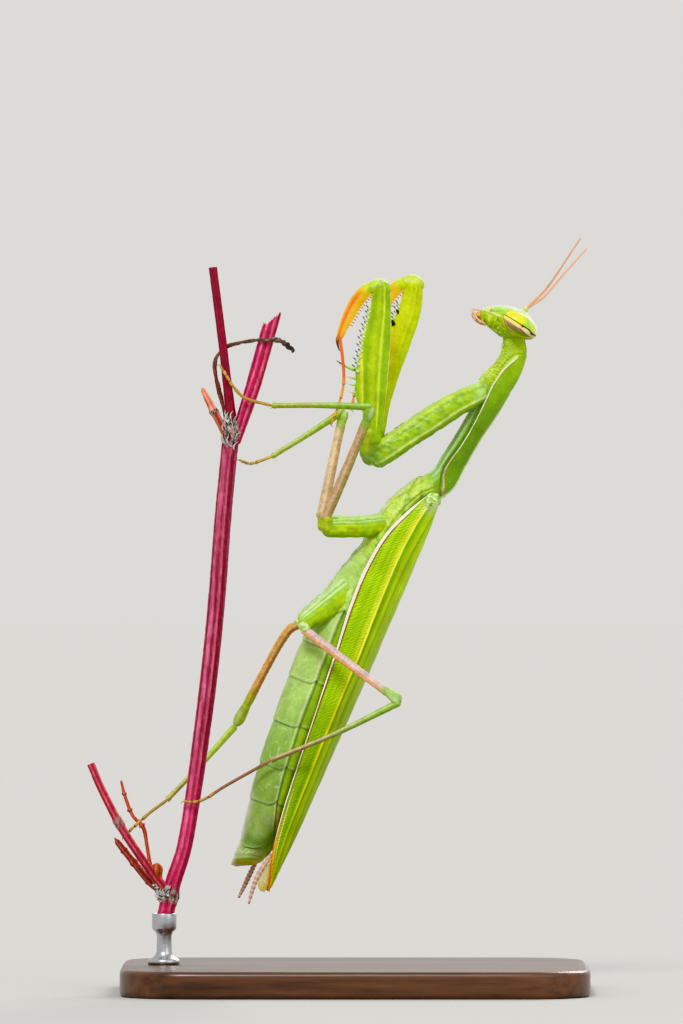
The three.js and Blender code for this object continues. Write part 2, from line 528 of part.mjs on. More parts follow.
function addWalkingLeg(pair, name, side, bends, colours) {
  const curves = legCurves(bends, side);
  const coxaSizes = WALK_COXA[pair];
  const coxaThickness = coxaSizes.map((size) => size * 0.85);
  const coxa = limb(curves.coxa, coxaSizes, coxaThickness, { count: 5, end: 0.12 }).subtract(bodyCutter);
  const femur = limb(curves.femur, WALK_FEMUR, WALK_FEMUR, { count: 4, sides: 7, start: 0.04, end: 0.03 });
  const tibia = limb(curves.tibia, WALK_TIBIA, WALK_TIBIA, { count: 4, sides: 6, start: 0.03 });
  const tarsus = limb(curves.tarsus, WALK_TARSUS, WALK_TARSUS, { count: 6, sides: 6, end: 0.04 });
  const bend = (near, far) => [
    curves[far].getPoint(0), curves[near].getTangent(1), curves[far].getTangent(0)];
  const [cutCoxa, femurRoot] = partAt(coxa, femur, ...bend('coxa', 'femur'));
  const [cutFemur, tibiaRoot] = partAt(femurRoot, tibia, ...bend('femur', 'tibia'));
  const [cutTibia, cutTarsus] = partAt(tibiaRoot, tarsus, ...bend('tibia', 'tarsus'));
  add(`${pair}_coxa_${name}`, biggest(cutCoxa), colours.coxa);
  add(`${pair}_femur_${name}`, biggest(cutFemur), colours.femur);
  add(`${pair}_tibia_${name}`, biggest(cutTibia), colours.tibia);
  add(`${pair}_tarsus_${name}`, biggest(cutTarsus), colours.tarsus);
}

function addLegs() {
  const colours = { coxa: GREEN, femur: 0xb89a7c, tibia: 0x9fae3c, tarsus: 0xb98a4c };
  [['left', -1], ['right', 1]].forEach(([name, side]) => {
    addForeLeg(name, side, FORE[name]);
    addWalkingLeg('middle', name, side, MIDDLE[name], colours);
    addWalkingLeg('hind', name, side, HIND[name], colours);
  });
}

// ---- Cerci ----

function addCerci() {
  const left = path([[-9.7, -1.6, 15.4], [-10.5, -2.7, 12.9], [-11.8, -3.1, 9.8]]);
  const right = path([[-11.0, 1.2, 14.6], [-12.0, 1.8, 12.4], [-13.0, 2.3, 10.2]]);
  const thickness = [0.3, 0.3, 0.25];
  const cercus = (curve) => biggest(
    limb(curve, thickness, thickness, { sides: 6, end: 0.06 }).subtract(tailCutter));
  add('cercus_left', cercus(left), 0xc9988a);
  add('cercus_right', cercus(right), 0xc9988a);
}

// ---- Perch and stand ----

/** A round stem piece whose radius follows a short list. */
const twig = (places, radii, options) => limb(path(places), radii, radii, { sides: 8, ...options });

function addPerch() {
  const stemRadii = [0.95, 1.25, 0.95, 0.93, 0.93, 0.92, 0.9, 1.15];
  const stem = (grow) => twig(STEM, stemRadii, { count: 12, end: 0.015, grow });
  const shoot = (grow) => twig(SHOOT, [0.6, 0.47, 0.45], { count: 5, grow });
  const stub = (grow) => twig(STUB, [0.7, 0.78, 0.8], { count: 4, grow });
  const branch = (grow) => twig(BRANCH, [0.6, 0.55, 0.5], { count: 8, grow });
  const stemCutter = stem(GAP);
  add('stem_main', stem(0), 0xa11f45, 0.55);
  add('stem_shoot', biggest(shoot(0).subtract(stemCutter)), 0x7d1233, 0.55);
  add('stem_stub', biggest(stub(0).subtract(stemCutter).subtract(shoot(GAP))), 0xc2305f, 0.55);
  const bud = twig(BUD, [0.32, 0.36, 0.26], { end: 0.08, sides: 7 })
    .subtract(stemCutter).subtract(shoot(GAP));
  add('stem_bud', biggest(bud), 0xd9744e, 0.6);
  add('stem_branch', biggest(branch(0).subtract(stemCutter)), 0x9c2a2e, 0.6);
  const lowTwig = twig(TWIG, [0.45, 0.4, 0.35], { count: 5 }).subtract(stemCutter).subtract(branch(GAP));
  add('stem_twig', biggest(lowTwig), 0x8e2f2c, 0.6);
  add('stem_tendril', biggest(twig(TENDRIL, [0.3, 0.27, 0.26], { count: 11, sides: 6, end: 0.02 })
    .subtract(stemCutter).subtract(shoot(GAP)).subtract(stub(GAP))), 0x5c4033, 0.8);
}

/** The outline of the base: a rectangle with round corners. */
function baseOutline(inset) {
  const [x, y, r] = [BASE.length / 2 - inset, BASE.width / 2 - inset, BASE.corner - inset];
  const outline = new THREE.Shape();
  outline.absarc(x - r, y - r, r, 0, Math.PI / 2);
  outline.absarc(r - x, y - r, r, Math.PI / 2, Math.PI);
  outline.absarc(r - x, r - y, r, Math.PI, 1.5 * Math.PI);
  outline.absarc(x - r, r - y, r, 1.5 * Math.PI, 2 * Math.PI);
  return outline;
}

function addStand() {
  const slab = new THREE.ExtrudeGeometry(baseOutline(BASE.bevel), {
    depth: BASE.height - 2 * BASE.bevel,
    bevelThickness: BASE.bevel, bevelSize: BASE.bevel, bevelSegments: 1, curveSegments: 3,
  });
  slab.translate(0, 0, BASE.bevel);
  add('stand_base', solid(slab), 0x3a2a20, 0.4);
  const profile = [[0, BASE.height], [ROD.foot, BASE.height], [ROD.foot, BASE.height + 0.6],
    [ROD.radius, BASE.height + 1.2], [ROD.radius, ROD.top], [0, ROD.top],
  ].map(([r, z]) => new THREE.Vector2(r, z));
  const rod = new THREE.LatheGeometry(profile, 12);
  rod.rotateX(Math.PI / 2);
  rod.translate(STEM[0][0], 0, 0);
  add('stand_rod', solid(rod), 0xb9bcc0, 0.3, 1);
}

addTrunk();
addHead();
addWings();
addLegs();
addCerci();
addPerch();
addStand();

export default model;
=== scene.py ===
# %% [markdown]
# # A praying mantis on a cut stem
# The real animal is an adult female mantis, 69 mm long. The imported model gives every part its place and
# size. Here each plain solid is replaced by a finished skin. All the skins are surfaces worked out with
# numpy, in millimetres, and turned into meshes in metres, so that each one lies exactly where its solid
# lies.

# %% Load the frame
import math

import bpy
import numpy as np
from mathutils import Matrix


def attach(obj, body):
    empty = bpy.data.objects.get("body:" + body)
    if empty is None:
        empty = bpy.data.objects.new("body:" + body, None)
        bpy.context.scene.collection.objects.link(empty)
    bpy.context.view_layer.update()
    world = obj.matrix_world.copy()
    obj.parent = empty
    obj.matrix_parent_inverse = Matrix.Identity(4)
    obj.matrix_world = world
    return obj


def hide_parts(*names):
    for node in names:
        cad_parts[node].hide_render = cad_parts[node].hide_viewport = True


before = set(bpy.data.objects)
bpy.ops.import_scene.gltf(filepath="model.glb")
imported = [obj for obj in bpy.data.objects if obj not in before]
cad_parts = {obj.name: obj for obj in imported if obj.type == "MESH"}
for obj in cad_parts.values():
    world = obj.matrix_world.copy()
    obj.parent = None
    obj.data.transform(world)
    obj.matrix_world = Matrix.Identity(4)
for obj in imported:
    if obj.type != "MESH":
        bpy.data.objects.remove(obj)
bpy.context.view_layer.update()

scene = bpy.context.scene

# %% [markdown]
# ## Tools for surfaces
# Almost everything on an insect is a closed tube: a section that changes as it is carried along a curve. A
# sculptor would model it in clay and a lathe or a sweep could do the plain ones. A grid of points is the
# most exact way, because ridges, rings and colours can then be worked out from the place along and around
# the tube.

# %% Curves and smooth steps
MM = 0.001
ACROSS = np.array([0, 1.0, 0])  # from the animal's left to its right


def spline(values, t):
    """A smooth curve through evenly spaced rows of values.

    Between two rows the curve is the cubic whose slope at each row is half the difference of the rows beside
    it. t runs from 0 at the first row to 1 at the last.
    """
    rows = np.asarray(values, float)
    spans = len(rows) - 1
    padded = np.concatenate([[2 * rows[0] - rows[1]], rows, [2 * rows[-1] - rows[-2]]])
    place = np.asarray(t, float) * spans
    i = np.clip(np.floor(place).astype(int), 0, spans - 1)
    f = place - i
    if rows.ndim > 1:
        f = f[..., None]
    a, b, c, d = (padded[i + k] for k in range(4))
    return b + 0.5 * f * (c - a + f * (2 * a - 5 * b + 4 * c - d + f * (3 * (b - c) + d - a)))


def step(x, low, high):
    """0 below low, 1 above high, and the smooth cubic 3s^2 - 2s^3 between them."""
    s = np.clip((np.asarray(x, float) - low) / (high - low), 0, 1)
    return s * s * (3 - 2 * s)


def fade(x, low, high):
    """The opposite of step: 1 below low and 0 above high."""
    return 1 - step(x, low, high)


def band(x, low, full, ebb, high):
    """A band: 1 from full to ebb, 0 below low and above high, and smooth between them."""
    return step(x, low, full) * fade(x, ebb, high)


def ridge(x, centre, width):
    """A smooth bump: e to the power of minus the squared distance from the centre, in widths."""
    return np.exp(-((x - centre) / width) ** 2)


def circle(count):
    """Angles in equal steps, once round."""
    return np.linspace(0, 2 * math.pi, count, endpoint=False)


def on_side(places, side):
    """A path on the left side, with side -1, or on the right side, with side 1."""
    return np.array(places) * [1, side, 1]


def unit(vectors):
    """The same directions with length 1."""
    return vectors / np.maximum(np.linalg.norm(vectors, axis=-1, keepdims=True), 1e-12)


def mottle(points, size, seed):
    """Smooth unevenness from -1 to 1: the mean of twelve seeded sine waves, about size mm apart."""
    dice = np.random.default_rng(seed)
    directions = unit(dice.normal(size=(12, 3))) * dice.uniform(0.6, 1.5, (12, 1)) * 2 * math.pi / size
    waves = np.sin(points @ directions.T + dice.uniform(0, 2 * math.pi, 12))
    return np.clip(waves.mean(axis=-1) * 2.4, -1, 1)


def blotches(points, size, seed, low, high):
    """Patches that are 1 where the unevenness is above high, and 0 where it is below low."""
    return step(mottle(points, size, seed), low, high)


print("middle of a test spline:", spline([0, 1, 4, 9], 0.5))

# %% [markdown]
# ## Colours
# Cuticle is tinted from inside, so its colours change smoothly over a plate and sharply at a line. Each skin
# carries its own colours as an attribute called tint, worked out from the place on the surface. A painter
# would do the same with thin glazes: a base colour, then one coat over another where a mask lets it through.

# %% Colour helpers


def rgb(red, green, blue):
    """A screen colour from 0 to 255, as the linear light that shaders use."""
    screen = np.array([red, green, blue]) / 255
    return np.where(screen <= 0.04045, screen / 12.92, ((screen + 0.055) / 1.055) ** 2.4)


def light_of(colour):
    """A colour as linear light. It may be one already, or a screen colour written as three numbers."""
    return rgb(*colour) if isinstance(colour, tuple) else colour


def coat(tint, colour, mask):
    """Lays a colour over a tint where the mask is 1."""
    mask = np.clip(mask, 0, 1)[..., None]
    return tint * (1 - mask) + light_of(colour) * mask


def paint(tint, coats):
    """Lays a list of coats over a tint, from the first to the last. Each one is a colour and its mask."""
    for colour, mask in coats:
        tint = coat(tint, colour, mask)
    return tint


def plain(points, colour):
    """One colour for each point of a grid."""
    return np.broadcast_to(light_of(colour), points.shape).copy()


LEAF = rgb(116, 166, 12)
MINT = rgb(138, 180, 78)
PALE = rgb(206, 224, 176)
CREAM = rgb(245, 236, 208)
ROSE = rgb(226, 160, 120)
BLACK = rgb(16, 12, 12)
print("leaf green as linear light:", np.round(LEAF, 3))

# %% [markdown]
# ## Closed patches
# A patch is a grid of points whose columns go round and whose rows go along. A fan of triangles closes each
# end. Many equal small patches, such as spines, are one array with a leading axis, so no loop over points is
# needed.

# %% Tubes


def rows_with_caps(count, start, end):
    """Rows along a tube and how full its section is there: a quarter circle over each rounded end."""
    turn_rows = 8 if start + end < 0.7 else 20  # more rows where the caps make up most of the tube
    turn = np.linspace(0.08, math.pi / 2, turn_rows)[:-1]
    t, full = [], []
    if start > 0:
        t.append(start * (1 - np.cos(turn)))
        full.append(np.sin(turn))
    t.append(np.linspace(start, 1 - end, count))
    full.append(np.ones(count))
    if end > 0:
        t.append(1 - end * (1 - np.cos(turn[::-1])))
        full.append(np.sin(turn[::-1]))
    return np.concatenate(t), np.concatenate(full)


def tube(places, wide, thick=None, rows=60, around=28, caps=(0.04, 0.04)):
    """An oval section carried along a smooth curve.

    A point is the curve's centre, plus cos(angle) * wide along the section's up, plus sin(angle) * thick
    across it. Across is +Y, made square to the curve. Without thick the section is round. It returns the
    points and the grids of t, which goes from 0 to 1 along the curve, and of the angle.
    """
    thick = wide if thick is None else thick
    t, full = rows_with_caps(rows, *caps)
    angle = circle(around)
    centre = spline(places, t)
    tangent = unit(spline(places, t + 1e-3) - spline(places, t - 1e-3))
    across = unit(ACROSS - tangent * (tangent @ ACROSS)[:, None])
    up = np.cross(tangent, across)
    a = (full * spline(wide, t))[:, None, None] * np.cos(angle)[None, :, None]
    b = (full * spline(thick, t))[:, None, None] * np.sin(angle)[None, :, None]
    points = centre[:, None] + a * up[:, None] + b * across[:, None]
    return points, *np.meshgrid(t, angle, indexing="ij")


def push(points, amount):
    """Moves each point of a closed grid outwards, along the cross product of its two grid directions."""
    lengthways = np.gradient(points, axis=0)
    sideways = np.roll(points, -1, axis=1) - np.roll(points, 1, axis=1)
    normal = unit(np.cross(sideways, lengthways))
    outward = points - points.mean(axis=1, keepdims=True)
    if (normal * outward).sum() < 0:
        normal = -normal
    return points + normal * np.asarray(amount)[..., None]


print("rows of a tube with caps:", len(rows_with_caps(60, 0.04, 0.04)[0]))

# %% Meshes from patches


def patch_faces(rows, columns):
    """The quads of a closed grid and the triangles of its two end fans.

    The poles are its last two points.
    """
    i, j = np.meshgrid(np.arange(rows - 1), np.arange(columns), indexing="ij")
    k = (j + 1) % columns
    quads = np.stack([i * columns + j, i * columns + k, (i + 1) * columns + k, (i + 1) * columns + j],
                     -1).reshape(-1, 4)
    j = np.arange(columns)
    k = (j + 1) % columns
    first, last = rows * columns, rows * columns + 1
    start = np.stack([np.full(columns, first), k, j], -1)
    end = np.stack([np.full(columns, last), (rows - 1) * columns + j, (rows - 1) * columns + k], -1)
    return quads, np.concatenate([start, end])


def with_poles(grid):
    """Each patch's values in a row, with the mean of its first ring and of its last ring at the end."""
    flat = grid.reshape(grid.shape[0], -1, 3)
    return np.concatenate([flat, grid[:, :1].mean(axis=2), grid[:, -1:].mean(axis=2)], axis=1)


def add_object(name, data):
    """A new object in the scene."""
    made = bpy.data.objects.new(name, data)
    scene.collection.objects.link(made)
    return made


def build(name, patches, nodes, finish):
    """One mesh object from closed patches: their points, their tint and, for some, their where values."""
    points, tints, wheres, quads, fans, start = [], [], [], [], [], 0
    for grid, tint, *extra in patches:
        where = extra[0] if extra else np.zeros_like(grid)
        shape = (-1, *grid.shape[-3:])
        grid, tint, where = grid.reshape(shape), tint.reshape(shape), where.reshape(shape)
        four, three = patch_faces(*grid.shape[1:3])
        body = with_poles(grid)
        a, b, c = (body[0][four[:, k]] for k in (0, 1, 2))
        if np.einsum("ij,ij->i", a - body[0].mean(axis=0), np.cross(b - a, c - a)).sum() < 0:
            four, three = four[:, ::-1], three[:, ::-1]
        shift = start + body.shape[1] * np.arange(len(body))[:, None, None]
        quads.append((four[None] + shift).reshape(-1, 4))
        fans.append((three[None] + shift).reshape(-1, 3))
        points.append(body.reshape(-1, 3))
        tints.append(with_poles(tint).reshape(-1, 3))
        wheres.append(with_poles(where).reshape(-1, 3))
        start += body.shape[0] * body.shape[1]
    points, quads, fans = np.concatenate(points) * MM, np.concatenate(quads), np.concatenate(fans)
    mesh = bpy.data.meshes.new(name)
    mesh.vertices.add(len(points))
    mesh.vertices.foreach_set("co", points.ravel())
    mesh.loops.add(quads.size + fans.size)
    mesh.loops.foreach_set("vertex_index", np.concatenate([quads.ravel(), fans.ravel()]).astype(np.int32))
    mesh.polygons.add(len(quads) + len(fans))
    starts = np.concatenate([np.arange(len(quads)) * 4, quads.size + np.arange(len(fans)) * 3])
    mesh.polygons.foreach_set("loop_start", starts.astype(np.int32))
    mesh.polygons.foreach_set("use_smooth", np.ones(len(starts), bool))
    colours = np.concatenate(tints)
    tint = mesh.attributes.new("tint", "FLOAT_COLOR", "POINT")
    tint.data.foreach_set("color", np.concatenate([colours, np.ones((len(colours), 1))], axis=1).ravel())
    where = mesh.attributes.new("where", "FLOAT_VECTOR", "POINT")
    where.data.foreach_set("vector", np.concatenate(wheres).ravel())
    mesh.update(calc_edges=True)
    mesh.materials.append(finish)
    piece = add_object(name, mesh)
    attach(piece, "root")
    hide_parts(*nodes)
    print(f"{name}: {2 * len(quads) + len(fans)} triangles")


print("a patch of 4 by 3 points has", len(patch_faces(4, 3)[0]), "quads")

# %% Thorns and spines


def spikes(roots, tips, radius, foot, tip, bend=0.0, rows=7, around=7):
    """Thorns from roots to tips, all as one array.

    The section is a circle that shrinks as the square root of what is left of the length, and the middle is
    bent sideways by bend times the length. The colour goes from foot to tip.
    """
    roots, tips = np.atleast_2d(roots), np.atleast_2d(tips)
    foot, tip = light_of(foot), light_of(tip)
    axis = tips - roots
    side = unit(np.cross(axis, [0.3, 1.0, 0.2]))
    other = unit(np.cross(axis, side))
    s = np.linspace(0, 0.985, rows)
    angle = circle(around)
    centre = roots[:, None] + axis[:, None] * s[None, :, None]
    centre = centre + (4 * bend * s * (1 - s))[None, :, None] * np.cross(axis, ACROSS)[:, None]
    size = (np.broadcast_to(radius, len(roots))[:, None] * np.sqrt(1 - s)[None])[..., None, None]
    ring = np.cos(angle)[None, :, None] * side[:, None] + np.sin(angle)[None, :, None] * other[:, None]
    points = centre[:, :, None] + size * ring[:, None]
    tint = foot + (tip - foot) * step(s, 0.35, 0.8)[:, None]
    return points, np.broadcast_to(tint[None, :, None], points.shape).copy()


print("grid of one thorn:", spikes([0, 0, 0], [0, 0, 1], 0.1, LEAF, CREAM)[0].shape)

# %% [markdown]
# ## Finishes
# Insect cuticle is a satin shell with a waxy bloom. Light goes a little way into it, and it is never quite
# even: fine pits, faint mottling and tiny pale flecks. One recipe makes all such finishes from the skin's
# own tint, with noise for the mottling, small cells for the pits, and a thin gloss coat.

# %% Shader nodes


def feed(tree, socket, value):
    """Links a value to an input when it comes from another node, and sets it there when it is a number."""
    if isinstance(value, bpy.types.NodeSocket):
        tree.links.new(value, socket)
    else:
        socket.default_value = value


def feed_all(tree, made, inputs):
    """Feeds a node's inputs by name, with _ for the spaces."""
    for key, value in inputs.items():
        feed(tree, made.inputs[key.replace("_", " ")], value)


def node(tree, kind, **inputs):
    """A shader node with some of its inputs set or linked."""
    made = tree.nodes.new("ShaderNode" + kind)
    feed_all(tree, made, inputs)
    return made


def attribute(tree, name):
    """A node that reads what the skin carries under a name."""
    made = tree.nodes.new("ShaderNodeAttribute")
    made.attribute_name = name
    return made


def maths(tree, operation, *values):
    """A Math node on sockets or numbers."""
    made = tree.nodes.new("ShaderNodeMath")
    made.operation = operation
    for socket, value in zip(made.inputs, values):
        feed(tree, socket, value)
    return made.outputs[0]


def times(tree, product, *factors):
    """The product of sockets or numbers, one Math node for each factor after the first."""
    for factor in factors:
        product = maths(tree, "MULTIPLY", product, factor)
    return product


def plus(tree, total, *terms):
    """The sum of sockets or numbers, one Math node for each term after the first."""
    for term in terms:
        total = maths(tree, "ADD", total, term)
    return total


def blend_colours(tree, factor, first, second):
    """A Mix node between two colours, which are its sockets 6 and 7. The first may come from a node."""
    made = tree.nodes.new("ShaderNodeMix")
    made.data_type = "RGBA"
    feed(tree, made.inputs[0], factor)
    feed(tree, made.inputs[6], first if isinstance(first, bpy.types.NodeSocket) else (*first, 1))
    feed(tree, made.inputs[7], (*second, 1))
    return made.outputs[2]


def multiplied(tree, vector, factors):
    """A vector with each of its coordinates multiplied by its own factor."""
    made = node(tree, "VectorMath", Vector=vector)
    made.operation = "MULTIPLY"
    made.inputs[1].default_value = factors
    return made.outputs["Vector"]


def noise(tree, size, detail=3.0, roughness=0.55, vector=None):
    """Noise with features about size millimetres across, in the object's own coordinates."""
    made = node(tree, "TexNoise", Scale=1 / (size * MM), Detail=detail, Roughness=roughness)
    tree.links.new(vector or tree.nodes["place"].outputs["Object"], made.inputs["Vector"])
    return made.outputs["Fac"]


def scaled(tree, value, low, high, new_low, new_high):
    """Maps a value from one range to another and clamps it."""
    made = node(tree, "MapRange", Value=value, From_Min=low, From_Max=high, To_Min=new_low, To_Max=new_high)
    return made.outputs["Result"]


print("noise scale for marks of 1 mm:", 1 / MM)

# %% The cuticle recipe


def start_finish(name):
    """A new material with its Principled shader, and the Object coordinates that its patterns hang on."""
    material = bpy.data.materials.new(name)
    material.use_nodes = True
    place = material.node_tree.nodes.new("ShaderNodeTexCoord")
    place.name = "place"
    return material, material.node_tree


def end_finish(tree, colour, roughness, height, strength, depth, **constants):
    """Feeds the shader its colour, roughness and other values, and a relief whose full height is depth mm."""
    relief = node(tree, "Bump", Strength=strength, Distance=depth * MM, Height=height)
    feed_all(tree, tree.nodes["Principled BSDF"],
             {"Base_Color": colour, "Roughness": roughness, "Normal": relief.outputs["Normal"], **constants})


def cuticle(name, mottling=0.16, size=1.6, pits=0.25, depth=0.012, rough=(0.34, 0.5), flecks=0.0,
            **constants):
    """A satin shell: the tint varied by noise, with small pits, and flecks of a paler colour if wanted."""
    material, tree = start_finish(name)
    colour = attribute(tree, "tint").outputs["Color"]
    broad = scaled(tree, noise(tree, size), 0.3, 0.7, 1 - mottling, 1 + mottling)
    fine = scaled(tree, noise(tree, size / 6, 2), 0.3, 0.7, 1 - mottling / 2, 1 + mottling / 2)
    value = node(tree, "HueSaturation", Color=colour, Value=times(tree, broad, fine))
    colour = value.outputs["Color"]
    if flecks:
        spots = scaled(tree, noise(tree, 0.16, 1), 0.66, 0.74, 0, flecks)
        colour = blend_colours(tree, spots, colour, (0.85, 0.9, 0.62))
    roughness = scaled(tree, noise(tree, 0.5), 0.3, 0.7, *rough)
    cells = node(tree, "TexVoronoi", Scale=1 / (pits * MM), Vector=tree.nodes["place"].outputs["Object"])
    height = plus(tree, cells.outputs["Distance"], times(tree, noise(tree, pits * 2.5), 1.5))
    end_finish(tree, colour, roughness, height, 0.7, depth, Specular_IOR_Level=0.38, **constants)
    return material


WAXY = {"Subsurface_Weight": 0.12, "Subsurface_Radius": (0.6, 0.9, 0.15), "Subsurface_Scale": 0.0006,
        "Coat_Weight": 0.06, "Coat_Roughness": 0.3}
shell = cuticle("waxy_shell", flecks=0.25, **WAXY)
print("finish:", shell.name)

# %% [markdown]
# ## Camera, light and floor
# The camera is level and far away, so that the long thin legs keep their true outlines. Broad soft suns
# light the model from all round, as a light tent would. The floor is a pale sheet as bright as the air
# behind it, so no edge shows.

# %% Camera
CAMERA_DISTANCE = 1.2  # metres
FRAME_HEIGHT = 0.1138  # metres across the long side of the view, at the model
camera = add_object("camera", bpy.data.cameras.new("camera"))
camera.location = (-0.0015, -CAMERA_DISTANCE, 0.0533)
camera.rotation_euler = (math.pi / 2, 0, 0)
camera.data.lens = camera.data.sensor_width * CAMERA_DISTANCE / FRAME_HEIGHT
camera.data.clip_start, camera.data.clip_end = 0.05, 20
scene.camera = camera
scene.view_settings.view_transform = "Khronos PBR Neutral"  # keeps a finish's own colour
print("lens", round(camera.data.lens, 1))

# %% Light
WORLD_LIGHT = 0.76
AIR = (1.0, 0.985, 0.96)  # the colour of the light from all round
world = bpy.data.worlds.new("studio")
scene.world = world
world.use_nodes = True
feed_all(world.node_tree, world.node_tree.nodes["Background"], {"Color": (*AIR, 1), "Strength": WORLD_LIGHT})
SUNS = {  # strength, spread of the disc, tilt from overhead and turn, all in degrees but the first
    "key": (1.75, 14, (44, -14)), "fill": (0.4, 40, (60, 48)), "back": (1.5, 22, (56, 155))}
for name, (strength, spread, (tilt, turn)) in SUNS.items():
    sun = add_object("sun_" + name, bpy.data.lights.new("sun_" + name, "SUN"))
    sun.data.energy = strength
    sun.data.angle = math.radians(spread)
    sun.rotation_euler = (math.radians(tilt), 0, math.radians(turn))
on_floor = sum(strength * math.cos(math.radians(tilt)) / math.pi for strength, _, (tilt, _) in SUNS.values())
floor_shade = WORLD_LIGHT / (WORLD_LIGHT + on_floor)
print("floor shade that matches the air:", round(floor_shade, 3))

# %% Floor
FLOOR_RADIUS = 4  # metres
floor_mesh = bpy.data.meshes.new("floor")
turns = circle(96)
rim = np.stack([np.cos(turns) * FLOOR_RADIUS, np.sin(turns) * FLOOR_RADIUS, 0 * turns], -1)
floor_mesh.from_pydata(rim.tolist(), [], [list(range(len(turns)))])
floor = add_object("floor", floor_mesh)
paper = bpy.data.materials.new("paper")
paper.use_nodes = True
paper_colour = (*(floor_shade * part for part in AIR), 1)
feed_all(paper.node_tree, paper.node_tree.nodes["Principled BSDF"],
         {"Base_Color": paper_colour, "Roughness": 1.0, "Specular_IOR_Level": 0.0})
floor_mesh.materials.append(paper)
print("floor radius in metres:", FLOOR_RADIUS)

# %% [markdown]
# ## The trunk
# From the neck to the tip the trunk is one long tube, and its plates are only thickenings of the same skin.
# So it is one surface, and no seam shows between neck, thorax and abdomen. Its sections are read from a
# short table of stations, which are about 4 mm apart. The relief and the colours are functions of the
# station and of the height round the body.

# %% Trunk stations
ROLL = math.radians(16)  # the back is turned this far towards -Y
TRUNK = np.array([  # centre x and z, half width, height above the centre line and depth below it, in mm
    [17.7, 72.4, 1.25, 1.25, 1.25], [17.5, 71.0, 1.5, 1.6, 1.15], [16.6, 68.9, 2.0, 1.75, 1.2],
    [14.8, 65.0, 1.85, 1.3, 1.6], [12.9, 61.8, 1.6, 1.12, 1.55], [11.2, 59.1, 1.5, 1.25, 1.55],
    [9.6, 56.7, 1.6, 1.45, 1.6], [7.1, 54.9, 2.3, 1.15, 2.0], [4.7, 52.0, 3.0, 1.9, 2.4],
    [3.0, 48.4, 3.3, 2.1, 2.7], [0.7, 44.8, 3.45, 2.4, 3.2], [-1.2, 41.4, 3.75, 2.7, 3.5],
    [-2.6, 37.9, 3.9, 2.7, 3.5], [-4.0, 34.5, 3.9, 2.7, 3.4], [-5.7, 30.0, 3.8, 2.6, 3.3],
    [-7.3, 25.7, 3.6, 2.4, 3.1], [-8.9, 21.3, 3.2, 2.2, 2.8], [-10.5, 16.8, 2.5, 1.6, 2.2],
    [-12.0, 14.05, 1.8, 1.1, 1.6]])
LAST = len(TRUNK) - 1


def trunk_surface(k, angle, full):
    """Points of the trunk at station k: the section is an oval, and a keeled roof over the pronotum.

    Its width is cos(angle) times the half width. Its height is sin(angle) times the height or the depth,
    each raised to a power that is below 2 where the section is a roof. At the tip the section slants, so
    that the belly reaches on.
    """
    t = k / LAST
    centre = spline(TRUNK[:, :2], t)
    tangent = unit(spline(TRUNK[:, :2], t + 1e-4) - spline(TRUNK[:, :2], t - 1e-4))
    normal = np.stack([-tangent[..., 1], 0 * t, tangent[..., 0]], -1)
    back = math.cos(ROLL) * normal + np.array([0, -math.sin(ROLL), 0])
    left = -math.sin(ROLL) * normal + np.array([0, -math.cos(ROLL), 0])
    roof = 2 - 0.55 * band(k, 0.9, 1.4, 5.9, 6.3)
    cos, sin = np.cos(angle), np.sin(angle)
    power = np.where(sin > 0, 2 / roof, 1)
    u = np.sign(cos) * np.abs(cos) ** power * spline(TRUNK[:, 2], t) * full
    height = np.where(sin > 0, spline(TRUNK[:, 3], t), spline(TRUNK[:, 4], t))
    v = np.sign(sin) * np.abs(sin) ** power * height * full
    middle = np.stack([centre[..., 0], 0 * t, centre[..., 1]], -1)
    heading = np.stack([tangent[..., 0], 0 * t, tangent[..., 1]], -1)
    return (middle + u[..., None] * left + v[..., None] * back
            - (0.6 * v * step(k, 16.8, 17.9))[..., None] * heading)


TIP_START, TIP_LENGTH = 17.72, 0.28  # the last stretch is rounded off, in stations
TRUNK_ROWS, TRUNK_COLUMNS = 540, 144
turn = np.linspace(0, 1.5, 14)[1:]
stations = np.concatenate([np.linspace(-0.3, TIP_START, TRUNK_ROWS), TIP_START + TIP_LENGTH * np.sin(turn)])
fullness = np.concatenate([np.ones(TRUNK_ROWS), np.cos(turn)])
K, ANGLE = np.meshgrid(stations, circle(TRUNK_COLUMNS), indexing="ij")
trunk = trunk_surface(K, ANGLE, fullness[:, None])
UP = np.degrees(np.arcsin(np.sin(ANGLE)))  # -90 under the belly, 90 along the back, the same on both sides
print("trunk grid", trunk.shape[:2])

# %% [markdown]
# ## Plates, folds and rings of the trunk
# The pronotum is a long shield with a raised pale margin and a keel. Under it the neck skin is wrinkled like
# a bellows. Each ring of the belly is a plate that laps over the next one, as roof tiles do: it rises slowly
# towards its rear edge and drops there. All of this could be carved by hand. Here each mark is a small ridge
# or step in the two parameters.

